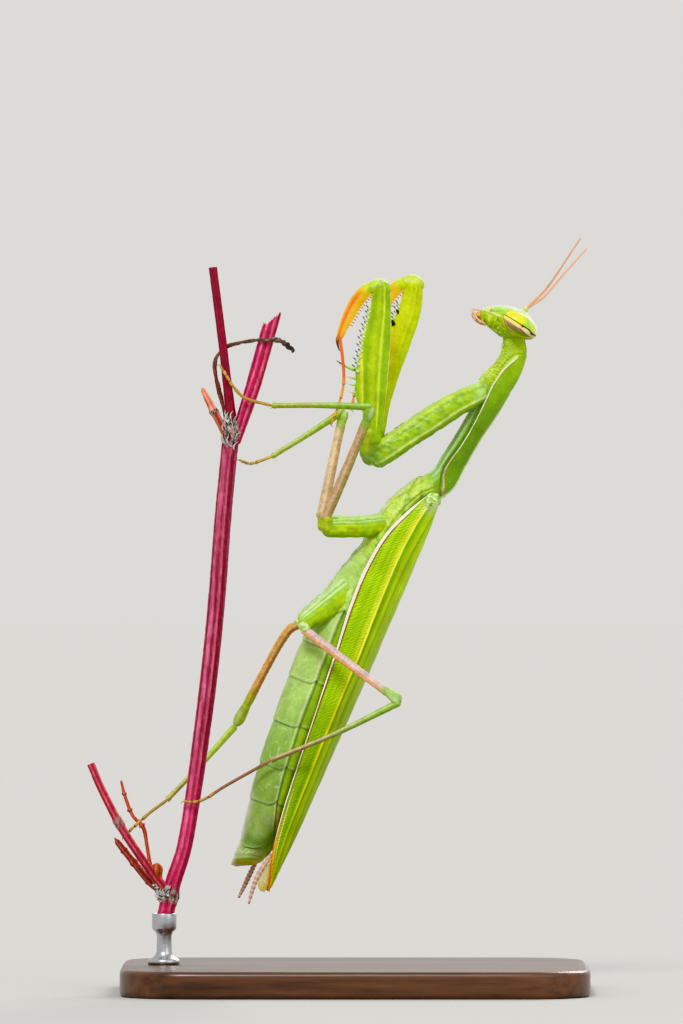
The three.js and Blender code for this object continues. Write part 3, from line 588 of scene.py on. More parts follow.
# %% Relief of the thorax
MARGIN = np.interp(K, [0.85, 0.95, 1.05, 1.25, 1.5, 2, 2.5, 3, 4, 4.5, 5, 5.5, 5.8, 6, 6.2, 6.3, 6.38],
                   [95, 55, 40, 36, 28, 13, -2, -3, 6, 5, -2, -4, 8.5, 30, 52, 75, 105])
plate = step(UP - MARGIN, -3, 3)
neck = fade(K, 2.2, 2.8) * (1 - plate)
bellows = neck * fade(UP, 0, 28 + 17 * step(K, 0.6, 1.4))
shoulder = ridge(K, 2.45, 0.42) * ridge(UP, -75, 48)
rear = band(K, 6.15, 6.6, 10.6, 11.1)
wrinkle = np.cos(2 * math.pi * (K + 0.012 * np.sin(ANGLE * 5)) / 0.082)
lumps = mottle(trunk, 1.7, 3)
relief = (0.05 * plate + 0.03 * plate * step(K, 1, 1.5) + 0.17 * ridge(UP, MARGIN + 3, 4.5)
          * step(K, 0.98, 1.5) - 0.16 * ridge(UP, MARGIN - 9, 6) * (K < 6.35))
relief += 0.1 * ridge(UP, 90, 7) * step(K, 2.5, 3.2) * plate
relief -= 0.05 * ridge(K, 2.42 + 0.0006 * (90 - UP), 0.05) * plate
relief += ((0.06 * wrinkle + 0.05 * mottle(trunk, 0.7, 5)) * bellows
           + (0.8 + 0.08 * mottle(trunk, 0.6, 6)) * shoulder)
relief += 0.1 * ridge(UP, -52, 9) * band(K, 2.4, 3, 5.8, 6.3)
folds = (ridge(K, 7.35 + 0.012 * UP, 0.1) + ridge(K, 8.75 + 0.01 * UP, 0.1)
         + 0.8 * ridge(UP, 6 - 9 * (K - 8.5), 6))
folds += 0.7 * ridge(K, 6.75 + 0.004 * UP, 0.06) + 0.6 * ridge(UP, -34 + 6 * np.sin(3 * K), 5)
relief += rear * (0.07 * lumps - 0.13 * folds + 0.04 * mottle(trunk, 0.5, 12))
print("thorax relief from", round(relief.min(), 2), "to", round(relief.max(), 2), "mm")

# %% Relief of the abdomen
SEAMS = np.array([10.9, 12.02, 13.12, 14.2, 15.26, 16.13, 17.35, 18.4])
PLEURAL = np.interp(K, [11, 12, 13, 14, 15, 15.5, 16, 16.5, 17, 18],
                    [15, 15.5, 18.5, 18, 23, 26, 32, 50, 80, 95])
belly = fade(UP - PLEURAL, -2, 2)
# each belly plate ends in a round corner, so many degrees wide
corner = np.interp(K, [15.4, 16.4, 17], [20, 40, 95])
into = np.clip((UP - PLEURAL + corner) / corner, 0, 1)
bowed = (K + np.interp(K, [15.4, 16.4, 17], [0.2, 0.3, 1.0]) * (1 - np.sqrt(1 - 0.98 * into ** 2)) * belly
         + 0.08 * (1 - belly))
bowed += 0.05 * ridge(UP, -90, 22) + 0.46 * step(K, 16.4, 16.9) * np.clip((-10 - UP) / 62, 0, 1) ** 2 * belly
ring = np.clip(np.searchsorted(SEAMS, bowed) - 1, 0, len(SEAMS) - 2)
phase = np.clip((bowed - SEAMS[ring]) / np.diff(SEAMS)[ring], 0, 1)
abdomen = step(bowed, 10.86, 10.94)
lap = (0.1 * phase ** 1.5 + 0.07 * np.sin(math.pi * phase) + 0.05 * ridge(phase, 0.97, 0.03)
       - 0.07 * ridge(phase, 0, 0.035))
relief += abdomen * (lap - 0.09 - 0.2 * ridge(UP, PLEURAL + 1, 3.5) + 0.07 * ridge(UP, PLEURAL - 7, 3))
relief += abdomen * 0.035 * mottle(trunk, 2.2, 8)
scratch = ridge(mottle(trunk, 2.7, 33), 0.12, 0.03) + ridge(mottle(trunk, 2.1, 36), -0.2, 0.03)
squiggle = scratch * blotches(trunk, 1.7, 34, 0, 0.3) * step(PLEURAL - UP, 5, 10)
squiggle += (0.8 * ridge(phase, 0.13 + 0.02 * np.sin(UP / 9), 0.013) * ridge(UP, PLEURAL - 38, 15)
             * blotches(trunk, 2.0, 35, -0.3, 0.2))
squiggle *= abdomen * belly * (ring < 5)
relief += 0.015 * squiggle + 0.45 * ridge(K, 17.88, 0.09) * ridge(UP, -72, 20) - 0.06 * ridge(K, 17.68, 0.06)
relief *= np.maximum(fullness, 0.3)[:, None]
trunk_skin = push(trunk, relief)
print("rings of the abdomen:", len(SEAMS) - 1)

# %% [markdown]
# ## Colours of the trunk
# A living mantis is never one green. The shield runs from lime at the front to deep leaf green, with a cream
# margin that turns rose at the rear. The belly is a milky mint with dark seams, each with a pale lip, and
# the wing-side band is darker. The colours are laid in that order, the broad ones first and the lines last.

# %% Trunk colours
line = ridge(UP, MARGIN + 3, 3.5) * (K > 0.98) * (K < 6.32)
hairs = step(np.sin(9 * UP + 5 * mottle(trunk, 0.5, 41)), 0.2, 0.9)
tint = paint(plain(trunk, LEAF), [
    ((152, 190, 14), plate * fade(K, 1.4, 3.4)),
    ((100, 144, 8), plate * step(K, 2.6, 4.2) * (1 - 0.5 * step(K, 5, 6)) * (1 - 0.4 * step(UP, 40, 85))),
    ((184, 216, 56), neck * 0.9),
    ((160, 192, 14), neck * step(UP, -20, 20) * fade(K, 0.7, 1.2)),
    # Dark olive in the troughs of the neck's wrinkles is painted shade, and pale yellow on their crests is a
    # painted highlight.
    ((112, 112, 14), bellows * step(-wrinkle, 0.1, 0.9) * 0.65),
    ((206, 220, 90), bellows * step(wrinkle, 0.3, 0.95) * blotches(trunk, 0.6, 11, 0, 0.5) * 0.8),
    ((182, 206, 40), np.clip(shoulder, 0, 1)),
    ((222, 234, 180), np.clip(shoulder, 0, 1) * blotches(trunk, 0.6, 6, 0.1, 0.6) * 0.7),
    (PALE, (1 - plate) * fade(UP, -62, -40) * (K < 6.3) * (0.15 + 0.4 * step(K, 2.2, 3))),
    ((196, 218, 176), band(K, 2.3, 3, 6, 6.4) * (ridge(UP, -60, 14) + 0.7 * ridge(UP, -26, 8))),
    # A dark green band in the groove below the raised margin of the shield: painted shade.
    ((60, 104, 12), band(K, 2.4, 3.2, 6, 6.3) * ridge(UP, MARGIN - 12, 7) * 0.8),
    ((184, 210, 84), rear),
    # Whitish mint towards the belly-side outline of the thorax and pale yellow on the tops of its lumps:
    # painted highlights.
    ((214, 230, 180), rear * fade(UP + 14 * lumps, -66, -26) * 0.85),
    ((216, 228, 120), rear * step(lumps, 0, 0.7) * 0.6),
    ((130, 170, 40), rear * blotches(trunk, 0.5, 12, 0.2, 0.6) * 0.5),
    # Darker green in the folds is painted shade.
    ((110, 156, 36), rear * np.clip(folds, 0, 1) * 0.5),
    ((164, 202, 112), rear * step(K, 8.8, 9.6) * 0.6),
    (CREAM, line * step(K, 0.98, 1.4)),
    (ROSE, line * step(K, 4.4, 5.4) * 0.85),
    # A pale line along the keel, at the top of the shield: a painted highlight.
    ((228, 240, 190), plate * ridge(UP, 90, 9) * step(K, 2.6, 3.4) * 0.95),
    (MINT, abdomen),
    ((172, 202, 110), abdomen * fade(K, 13.2, 14.8) * 0.8),
    ((128, 152, 64), abdomen * step(K, 14.6, 16) * 0.7),
    ((142, 160, 104), step(K, 16.1, 16.5) * blotches(trunk, 1.3, 44, -0.6, 0.4) * 0.6),
    ((130, 166, 70), abdomen * blotches(trunk, 3.0, 21, 0, 0.9) * 0.4),
    ((186, 206, 148), abdomen * belly * fade(UP, -80, -48) * 0.7),
    ((92, 134, 46), ridge(K, 16.95 + 0.18 * np.cos(np.radians(UP * 2)), 0.22) * belly * step(UP, -66, -44)
     * (K < 17.5) * 0.7),
    ((150, 172, 92), step(K, 17.35, 17.6) * belly * 0.7),
    ((216, 222, 190), ridge(K, 17.52, 0.13) * belly * hairs * 0.6),
    ((222, 226, 206), step(K, 15.7, 16.2) * ridge(UP, -66, 24) * (0.75 + 0.25 * mottle(trunk, 0.3, 37))),
    ((132, 172, 24), abdomen * (1 - belly)),
    ((160, 186, 60), abdomen * (1 - belly) * ridge(UP, PLEURAL + 12, 3) * 0.6),
    ((52, 92, 22), abdomen * ridge(phase, 0, 0.022) * 0.85),
    ((196, 222, 160), abdomen * ridge(phase, 0.975, 0.018) * 0.55),
    ((50, 84, 20), abdomen * ridge(UP, PLEURAL + 1, 1.7) * 0.8),
    ((214, 228, 172), abdomen * ridge(UP, PLEURAL - 6, 2.4) * 0.7),
    ((214, 228, 176), squiggle * 0.55),
    ((214, 160, 120), ridge(K, 16.38, 0.22) * ridge(UP, PLEURAL + 3, 6)
     * blotches(trunk, 0.7, 31, -0.5, 0.3)),
    ((190, 196, 20), step(K, 17.8, 17.86) * step(UP, -75, -50) * 0.9),
    ((236, 236, 206), ridge(K, 17.88, 0.1) * ridge(UP, -72, 20))])
print("mean trunk colour", np.round(tint.mean(axis=(0, 1)), 3))

# %% Trunk studs
dice = np.random.default_rng(40)
STUD_COUNT = 90
BELLY_COLUMN = TRUNK_COLUMNS * 3 // 4
stud_rows = dice.integers(20, 110, STUD_COUNT)  # on the neck and the front of the shield
stud_columns = (BELLY_COLUMN + dice.normal(0, 7, STUD_COUNT)).astype(int)
stud_roots = trunk_skin[stud_rows, stud_columns]
stud_out = unit(stud_roots - trunk_skin[stud_rows].mean(axis=1))
studs = spikes(stud_roots - 0.03 * stud_out, stud_roots + 0.2 * stud_out, 0.09, (190, 214, 100), CREAM,
               rows=5, around=6)
TRUNK_NODES = ["neck", "prothorax", "mesothorax", "metathorax", *(f"abdomen_{i}" for i in range(1, 8))]
build("trunk_skin", [(trunk_skin, tint), studs], TRUNK_NODES, shell)

# %% [markdown]
# ## The head
# A mantis's head is a wide triangle: broad between the eyes and narrow at the mouth. The capsule is a tube
# from the crown to the upper lip. Its plates are drawn by grooves, and a pale ridge runs from the mouth to
# the eye. The eyes are big smooth domes with bands of colour along them, so they are pieces of their own
# with a glossy finish.

# %% The head's own frame
HEAD_CENTRE = np.array([16.67, 0, 74.44])
HEAD_TILT = math.radians(12)
MOUTHWARD = np.array([-math.cos(HEAD_TILT), 0, math.sin(HEAD_TILT)])
FACEWARD = np.array([math.sin(HEAD_TILT), 0, math.cos(HEAD_TILT)])
HEAD = np.array([  # towards the mouth, offset to the face, half height and half width, in mm
    [-3.35, -0.45, 0.55, 1.9], [-2.75, -0.15, 1.15, 2.5], [-1.9, 0.03, 1.62, 2.6], [-0.9, -0.03, 1.78, 2.4],
    [0.1, -0.02, 1.76, 2.05], [0.9, 0.16, 1.52, 1.6], [1.8, 0.22, 1.15, 1.2], [2.6, 0.18, 0.8, 0.95],
    [3.0, 0.15, 0.5, 0.6]])


def place_in(origin, axes, *amounts):
    """Points of a frame: its origin plus so much along each of its axes, one axis after the other."""
    place = origin
    for amount, axis in zip(np.broadcast_arrays(*amounts), axes):
        place = place + amount[..., None] * axis
    return place


def head_place(mouthward, faceward, side):
    """A point of the head's frame: so far to the mouth, to the face and towards +Y."""
    return place_in(HEAD_CENTRE, (MOUTHWARD, FACEWARD, ACROSS), mouthward, faceward, side)


EYE_TILT = 0.363
EYE_SIZE = np.array([2.12, 1.22, 1.3])  # half length, half height and half depth
EYE_LONG = -math.cos(EYE_TILT) * MOUTHWARD - math.sin(EYE_TILT) * FACEWARD
EYE_UP = np.cross(EYE_LONG, ACROSS)


def eye_centre(side):
    """The middle of an eye."""
    return head_place(-1.74, -0.04, 2.4 * side)


def in_eye(points, side):
    """How far points are from an eye's centre along its length, height and depth, in its own half sizes."""
    offset = points - eye_centre(side)
    axes = np.stack([EYE_LONG, EYE_UP, [0, side, 0]], -1)
    return (offset @ axes) / EYE_SIZE


print("eye length and height in mm:", 2 * EYE_SIZE[:2])

# %% Head surface
t, full = rows_with_caps(150, 0.05, 0.06)
angle = circle(144)
along, shift, high, wide = spline(HEAD, t).T[..., None]
full = full[:, None]
HEAD_UP = np.sin(angle) * np.ones_like(full)
head_points = head_place(along * np.ones_like(angle), shift + HEAD_UP * (full * high),
                         np.cos(angle) * (full * wide))
offset = head_points - HEAD_CENTRE
# M, F and SIDE are mm from the head's centre: towards the mouth, towards the face and to either side
M, F, SIDE = offset @ MOUTHWARD, offset @ FACEWARD, np.abs(offset[..., 1])
eye_level = np.minimum(*(np.linalg.norm(in_eye(head_points, side), axis=-1) for side in (-1, 1)))
rim = ridge(eye_level, 1.1, 0.07)
front = step(HEAD_UP, 0.1, 0.5)
cheek_ridge = ridge(F, 0.44 + (M - 0.57) * 0.185, 0.1) * band(M, 0.3, 0.7, 2.3, 2.7) * step(SIDE, 0.4, 0.7)
lip_groove = ridge(M, 1.95 - 0.12 * SIDE, 0.06) * front + ridge(M, 2.5, 0.05) * front
face_groove = ridge(SIDE, 0.75 - 0.12 * M, 0.08) * front * band(M, -0.6, -0.1, 1.7, 2)
brow_groove = ridge(M, -0.55 + 0.35 * SIDE, 0.07) * front * (SIDE < 1.6)
jaw = ridge(M, 1.75, 0.55) * ridge(F, -0.35, 0.5) * step(SIDE, 0.3, 0.7)
relief = (0.1 * rim + 0.09 * cheek_ridge - 0.08 * lip_groove - 0.06 * face_groove - 0.06 * brow_groove
          + 0.12 * jaw)
relief += 0.05 * mottle(head_points, 1.3, 14) + 0.02 * mottle(head_points, 0.35, 15)
relief -= 0.07 * ridge(SIDE, 1.25, 0.1) * fade(M, -2.2, -1.8) * step(F, 0.1, 0.4)
head_skin = push(head_points, relief * full)
print("head grid", head_points.shape[:2])

# %% Head colours
spots = blotches(head_points, 0.42, 17, 0.35, 0.6) * fade(F, 0.2, 0.45) * step(M, -0.4, 0.1)
tint = paint(plain(head_points, (162, 194, 24)), [
    ((188, 212, 96), step(HEAD_UP, 0.35, 0.85)),
    # A near-white strip along the top of the head and pale cream along the top of the snout: painted
    # highlights.
    ((222, 234, 200), step(HEAD_UP, 0.75, 0.98) * 0.9),
    ((236, 240, 170), ridge(M, 2.1, 0.5) * step(HEAD_UP, 0.5, 0.9) * 0.8),
    ((120, 196, 20), ridge(M, 1.0, 0.35) * ridge(F, 1.12, 0.2) * 0.8),
    ((150, 196, 60), ridge(M, 0.9, 0.5) * ridge(F, 1.1, 0.35) * 0.8),
    ((122, 164, 6), fade(F, -0.9, -0.2) * 0.7),
    # Dark green under the mouth end of the head is painted shade.
    ((64, 84, 8), ridge(M, 2.3, 0.35) * fade(F, -0.6, -0.1) * 0.85),
    ((104, 140, 120), ridge(F, 0.95 - 0.28 * (M - 1.2), 0.07) * band(M, 0.1, 0.5, 1.9, 2.3) * 0.7),
    ((226, 226, 70), spots * 0.9),
    ((90, 96, 24), step(-mottle(head_points, 0.42, 17), 0.5, 0.8) * fade(F, 0.2, 0.4)
     * step(M, -0.2, 0.3) * 0.6),
    ((236, 232, 150), cheek_ridge),
    ((150, 166, 30), rim * (F < 0.2)),
    ((214, 206, 60), ridge(eye_level, 1.06, 0.04) * (F < 0.1)),
    ((232, 236, 222), rim * (M < -1.6) * step(F, -0.6, 0.2)),
    ((96, 110, 84), (lip_groove + face_groove * 0.5 + brow_groove * 0.5) * 0.6),
    ((176, 130, 66), step(M, 2.55, 3.0) * 0.7)])
print("mean head colour", np.round(tint.mean(axis=(0, 1)), 3))

# %% Simple eyes and antenna sockets


def socket_of(side):
    """An antenna's socket on the face, and the direction in which the antenna leaves it."""
    base = head_place(-1.72, 1.38, 0.34 * side)
    return base, unit(head_place(-2.25, 2.3, 0.75 * side) - base)


knobs = []
for side in (-1, 1):
    base, lift = socket_of(side)
    places = base + np.array([0, 0.3, 0.62, 0.8])[:, None] * lift
    points, along, _ = tube(places, [0.3, 0.33, 0.26, 0.2], rows=20, around=20)
    knobs.append((points, coat(plain(points, (196, 214, 130)), (150, 178, 70), ridge(along, 0.55, 0.08))))
for simple_eye in ((-1.35, 1.6, 0), (-2.0, 1.5, 0.3), (-2.0, 1.5, -0.3)):
    root = head_place(*simple_eye)
    places = root + np.array([-0.05, 0, 0.16])[:, None] * FACEWARD
    points, *_ = tube(places, [0.14, 0.14, 0.1], rows=8, around=16, caps=(0.1, 0.45))
    knobs.append((points, plain(points, (226, 226, 130))))
build("head_skin", [(head_skin, tint), *knobs], ["head"], shell)

# %% [markdown]
# ## The eyes
# Thousands of tiny lenses make a compound eye, so from near it is a smooth, glassy dome with a very fine
# grain. A glass bead with paint behind it would do. Here the dome is a grid with its bands of colour along
# its own length: lemon above, a brown line that ends in a spot, a cream stripe, a mauve band and an olive
# rim below.

# %% Eye finish
eye_gloss = cuticle("eye_gloss", mottling=0.06, size=0.8, pits=0.05, depth=0.002, rough=(0.14, 0.22),
                    Coat_Weight=0.15, Coat_Roughness=0.1, Subsurface_Weight=0.05, Subsurface_Scale=0.0004,
                    Subsurface_Radius=(0.8, 0.8, 0.2))
print("finish:", eye_gloss.name)

# %% Eye domes
for name, side in (("eye_left", -1), ("eye_right", 1)):
    latitude = np.linspace(-math.pi / 2 + 0.03, math.pi / 2 - 0.03, 90)
    A, TURN = np.meshgrid(latitude, circle(96), indexing="ij")
    a, b, c = np.sin(A), np.cos(A) * np.cos(TURN), np.cos(A) * np.sin(TURN)
    b = b * (1 + 0.06 * a)
    centre = eye_centre(side)
    local = np.stack([a, b, c], -1) * EYE_SIZE
    points = centre + local @ np.stack([EYE_LONG, EYE_UP, [0, side, 0]])
    edge = np.hypot(a, b)
    cream = ridge(b, -0.2 - 0.08 * step(a, 0.4, 0.7), 0.105 + 0.05 * ridge(a, 0.4, 0.2)) ** 0.7
    line = ridge(b, 0.03 - 0.15 * step(a, 0.45, 0.8), 0.045 + 0.035 * step(a, 0, 0.3))
    spots = (ridge(np.hypot((a - 0.12) / 0.07, (b + 0.05) / 0.1), 0, 0.9)
             + ridge(np.hypot((a - 0.73) / 0.09, (b + 0.16) / 0.13), 0, 0.9))
    slanting = ridge(b + 0.5 * (a - 0.12), -0.34, 0.05) * band(a, -0.05, 0.08, 0.42, 0.5)
    under = b - 0.22 * np.maximum(a, 0)
    stripe = coat(plain(points, (250, 240, 150)), (232, 216, 160), step(a, 0, 0.3))
    brown = coat(plain(points, (126, 104, 8)), (84, 26, 20), step(a, -0.15, 0.1))
    tint = paint(plain(points, (190, 222, 56)), [
        ((226, 238, 90), step(b, 0.6, 0.85)),
        ((248, 244, 0), step(1.35 - np.hypot((a + 0.42) / 0.5, (b - 0.33) / 0.36), 0, 0.5)),
        ((140, 206, 50), ridge(a, 0.24, 0.2) * ridge(b, 0.3, 0.22) * 0.8),
        ((196, 222, 110), step(a + 0.75 * b, 0.6, 0.8) * step(b, -0.15, 0.05) * 0.8),
        ((244, 240, 232), step(edge, 0.85, 0.91) * step(a, 0.1, 0.4) * step(b, -0.25, -0.1)
         * step(c, -0.02, 0.12)),
        ((132, 176, 60), ridge(a + 0.6 * b, 0.62, 0.07) * step(b, 0, 0.2) * 0.6),
        ((196, 132, 122), fade(b, -0.3, -0.22)),
        ((132, 72, 82), ridge(a, -0.15, 0.2) * ridge(b, -0.5, 0.12) * 0.7),
        (stripe, step(cream, 0.25, 0.6)),
        (brown, step(line, 0.2, 0.7)),
        ((66, 20, 22), np.clip(1.3 * spots + slanting, 0, 1)),
        ((118, 150, 10), fade(under, -0.64, -0.55)),
        ((90, 110, 10), ridge(under, -0.62, 0.06) * 0.5),
        ((196, 184, 30), step(edge, 0.86, 0.9) * fade(b, -0.42, -0.3)),
        ((124, 118, 12), step(edge, 0.95, 0.98) * fade(b, -0.42, -0.3))])
    build(name + "_dome", [(points, tint)], [name], eye_gloss)

# %% [markdown]
# ## Mouthparts and antennae
# The palps are small jointed feelers that curl round the jaws, and the antennae are long strings of tiny
# beads. Each is a tube whose radius swells once in each joint. Threading real beads on a wire would be the
# handmade way.

# %% Beaded tubes


def beads(t, count, waist):
    """A factor for the radius: 1 in the middle of each bead, and waist at its ends, as half a sine wave."""
    return waist + (1 - waist) * np.sqrt(np.abs(np.sin(math.pi * count * t)))


def beaded(places, radii, count, waist, colour, joint, rows=120, around=18, caps=(0.02, 0.03)):
    """A round tube with beads, darker or paler at its joints."""
    points, t, _ = tube(places, radii, rows=rows, around=around, caps=caps)
    size = spline(radii, t) * (1 - beads(t, count, waist))
    return push(points, -size), coat(plain(points, colour), joint, 1 - beads(t, count, 0))


print("bead factor at a joint:", beads(np.array([0.0]), 5, 0.7)[0])

# %% Palps and jaws
mouth = []
for side in (-1, 1):
    long_palp = head_place([2.0, 2.69, 3.12, 3.51, 3.78, 3.4, 2.9],
                           [-0.66, -0.54, -0.29, 0.13, 0.52, 0.68, 0.62],
                           np.array([0.55, 0.8, 0.85, 0.85, 0.8, 0.7, 0.6]) * side)
    mouth.append(beaded(long_palp, [0.14, 0.13, 0.12, 0.11, 0.11, 0.1, 0.09], 5, 0.86, (232, 176, 140),
                        (246, 214, 180)))
    short_palp = head_place([2.0, 2.77, 3.18, 3.58, 3.74, 3.6], [-0.8, -0.74, -0.55, -0.27, 0.08, 0.3],
                            np.array([0.35, 0.5, 0.55, 0.5, 0.45, 0.4]) * side)
    mouth.append(beaded(short_palp, [0.11, 0.1, 0.1, 0.09, 0.09, 0.06], 4, 0.8, (206, 140, 100),
                        (236, 200, 160)))
    jaw_path = head_place([1.9, 2.5, 3.05, 3.35], [0.02, 0.1, 0.14, 0.1],
                          np.array([0.45, 0.5, 0.35, 0.15]) * side)
    points, along, turned = tube(jaw_path, [0.42, 0.4, 0.3, 0.16], [0.3, 0.3, 0.24, 0.12], rows=36,
                                 around=24, caps=(0.1, 0.12))
    tint = paint(plain(points, (226, 180, 90)), [
        ((70, 36, 16), ridge(np.cos(turned), 0.75, 0.2) * step(along, 0.2, 0.4)),
        ((120, 66, 30), step(along, 0.75, 0.95) * 0.7)])
    mouth.append((points, tint))
# The floor of the mouth is dark olive with brown blotches: painted shade between the palps and jaws.
floor_of_mouth = head_place([1.7, 2.4, 3.0, 3.4], [-0.45, -0.38, -0.2, 0.05], 0)
points, *_ = tube(floor_of_mouth, [0.42, 0.4, 0.3, 0.16], [0.6, 0.6, 0.45, 0.3], rows=30, around=24,
                  caps=(0.1, 0.15))
mouth.append((points, coat(plain(points, (84, 96, 12)), (52, 40, 12), blotches(points, 0.4, 66, 0, 0.5))))
build("mouth_skin", mouth, ["mouthparts"], shell)

# %% Antennae
horn = cuticle("antenna_horn", mottling=0.12, size=0.6, pits=0.12, depth=0.004, rough=(0.4, 0.55))
SWEEPS = {"left": (-1, [[0.55, 0.6, 0.62], [2.3, 1.6, 2.1], [3.75, 3.3, 4.1], [6.25, 5.6, 7.9]]),
          "right": (1, [[0.55, 0.6, 0.62], [2.3, 1.7, 1.5], [4.4, 3.6, 3.9], [7.2, 6.2, 7.0]])}
for name, (side, sweep) in SWEEPS.items():
    root = head_place(-1.75, 1.75, 0)
    places = root + on_side(sweep, side)
    base, lift = socket_of(side)
    places[0] = base + 0.7 * lift
    points, colour = beaded(places, [0.16, 0.14, 0.12, 0.09], 46, 0.82, (240, 186, 146), (206, 136, 96),
                            rows=640, around=14)
    build(f"antenna_{name}_string", [(points, colour)], [f"antenna_{name}"], horn)

# %% [markdown]
# ## The wings
# The fore wings, or tegmina, are leathery sheets that cover the back like a folded fan. A strong vein
# divides each one: outside it the narrow costal field bends down over the flank and ends in a white edge,
# and inside it the broad field lies flat over the back. The left wing lies on the right one. Paper or film
# over wire veins is a model maker's way. Here the sheet is a grid, its thickness is added along its own
# normal, and the veins are raised from it.

# %% Wing tables, in the wings' own frame: s from the hinge to the tip, u to the left and v up off the back
WING_HINGE = np.array([9.2, -1.1, 54.3])
# the rows below are 4.64 mm apart, the first before the hinge
WING_LENGTH, WING_START, VEIN_SHARE = 47, 0.6, 3 / 8
LEAN = math.atan2(18.8, 43.1)
COSTAL_U = [-1.2, 1.8, 3.4, 3.85, 3.8, 3.7, 3.5, 3.2, 2.9, 2.5, 1.8, 0.14]
COSTAL_V = [0.7, -1.48, -3.07, -3.6, -3.48, -2.99, -2.58, -2.2, -1.88, -1.53, -0.97, -0.1]
VEIN_U = [-1.1, 1.3, 2.5, 2.9, 3.0, 3.0, 2.9, 2.6, 2.3, 1.9, 1.3, 0.12]
VEIN_V = [0.5, -0.5, -0.85, -0.85, -0.7, -0.5, -0.5, -0.45, -0.4, -0.35, -0.22, -0.02]
WING_DOWN = np.array([-math.sin(LEAN), 0, -math.cos(LEAN)])
WING_OUT = np.array([-WING_DOWN[2], 0, WING_DOWN[0]])
WING_BACK = math.cos(ROLL) * WING_OUT + np.array([0, -math.sin(ROLL), 0])
WING_LEFT = -math.sin(ROLL) * WING_OUT + np.array([0, -math.cos(ROLL), 0])


def wing_place(s, u, v):
    """A point of the wings' frame: s down towards the tip, u to the left and v up off the back."""
    return place_in(WING_HINGE, (WING_DOWN, WING_LEFT, WING_BACK), s, u, v)


def tegmen_middle(side, q, w):
    """The middle of a tegmen: q goes from its costal edge to its inner one, and w from hinge to tip.

    Outside the vein the point slides from the costal edge to the vein with a slight bulge. Inside it, u runs
    on past the middle line, and v is a low parabola. The right wing sinks under the left one over the back.
    """
    s = WING_START + (WING_LENGTH - WING_START) * w
    row = (w + 0.1) / 1.1
    vein_u, vein_v = spline(VEIN_U, row), spline(VEIN_V, row)
    overlap = 1.6 * np.sqrt(np.maximum(np.sin(math.pi * (0.12 + 0.879 * w)), 0)) * step(w, -0.09, 0.06)
    drop = 0 if side > 0 else 0.8 - 0.5 * step(w, 0.8, 1)
    crown = 0.28 * band(w, -0.05, 0.1, 0.8, 1)

    def sunk(u):
        """How far the right wing lies below the left one."""
        return drop * fade(u, overlap + 0.5, overlap + 1.1)

    p = np.clip(q / VEIN_SHARE, 0, 1)
    outer_u = (spline(COSTAL_U, row) * (1 - p) + vein_u * p
               + 0.25 * np.sin(math.pi * p) * band(w, -0.05, 0.1, 0.9, 1))
    outer_v = spline(COSTAL_V, row) * (1 - p) + vein_v * p - sunk(vein_u) * p
    inner_u = vein_u + (-overlap - vein_u) * np.clip((q - VEIN_SHARE) / (1 - VEIN_SHARE), 0, 1)
    inner_v = crown + (vein_v - crown) * (inner_u / vein_u) ** 2 - sunk(inner_u)
    outer = q < VEIN_SHARE
    return wing_place(s, side * np.where(outer, outer_u, inner_u), np.where(outer, outer_v, inner_v))


def thin_sheet(middle, thickness, top_relief):
    """A closed patch from a middle surface: its upper face across, then its lower face back."""
    normal = unit(np.cross(np.gradient(middle, axis=1), np.gradient(middle, axis=0)))
    if (normal @ WING_BACK).mean() < 0:
        normal = -normal
    edge = np.sqrt(1 - np.linspace(-0.98, 0.98, middle.shape[1]) ** 10)
    half = (thickness / 2 * edge)[None, :, None] * normal
    top = middle + half + top_relief[..., None] * normal
    return np.concatenate([top, (middle - half)[:, ::-1]], axis=1)


print("wing slope from the vertical:", round(math.degrees(LEAN), 1), "degrees")

# %% [markdown]
# ## The wing's finish
# Between the long veins a tegmen is woven with fine cross-veins. They lean towards the tip in the costal
# field, and make a net of small cells over the back. They are too fine for the grid, so the material draws
# them, from each point's distance along the wing and from the main vein, which the skin carries as an
# attribute called where.

# %% Wing material


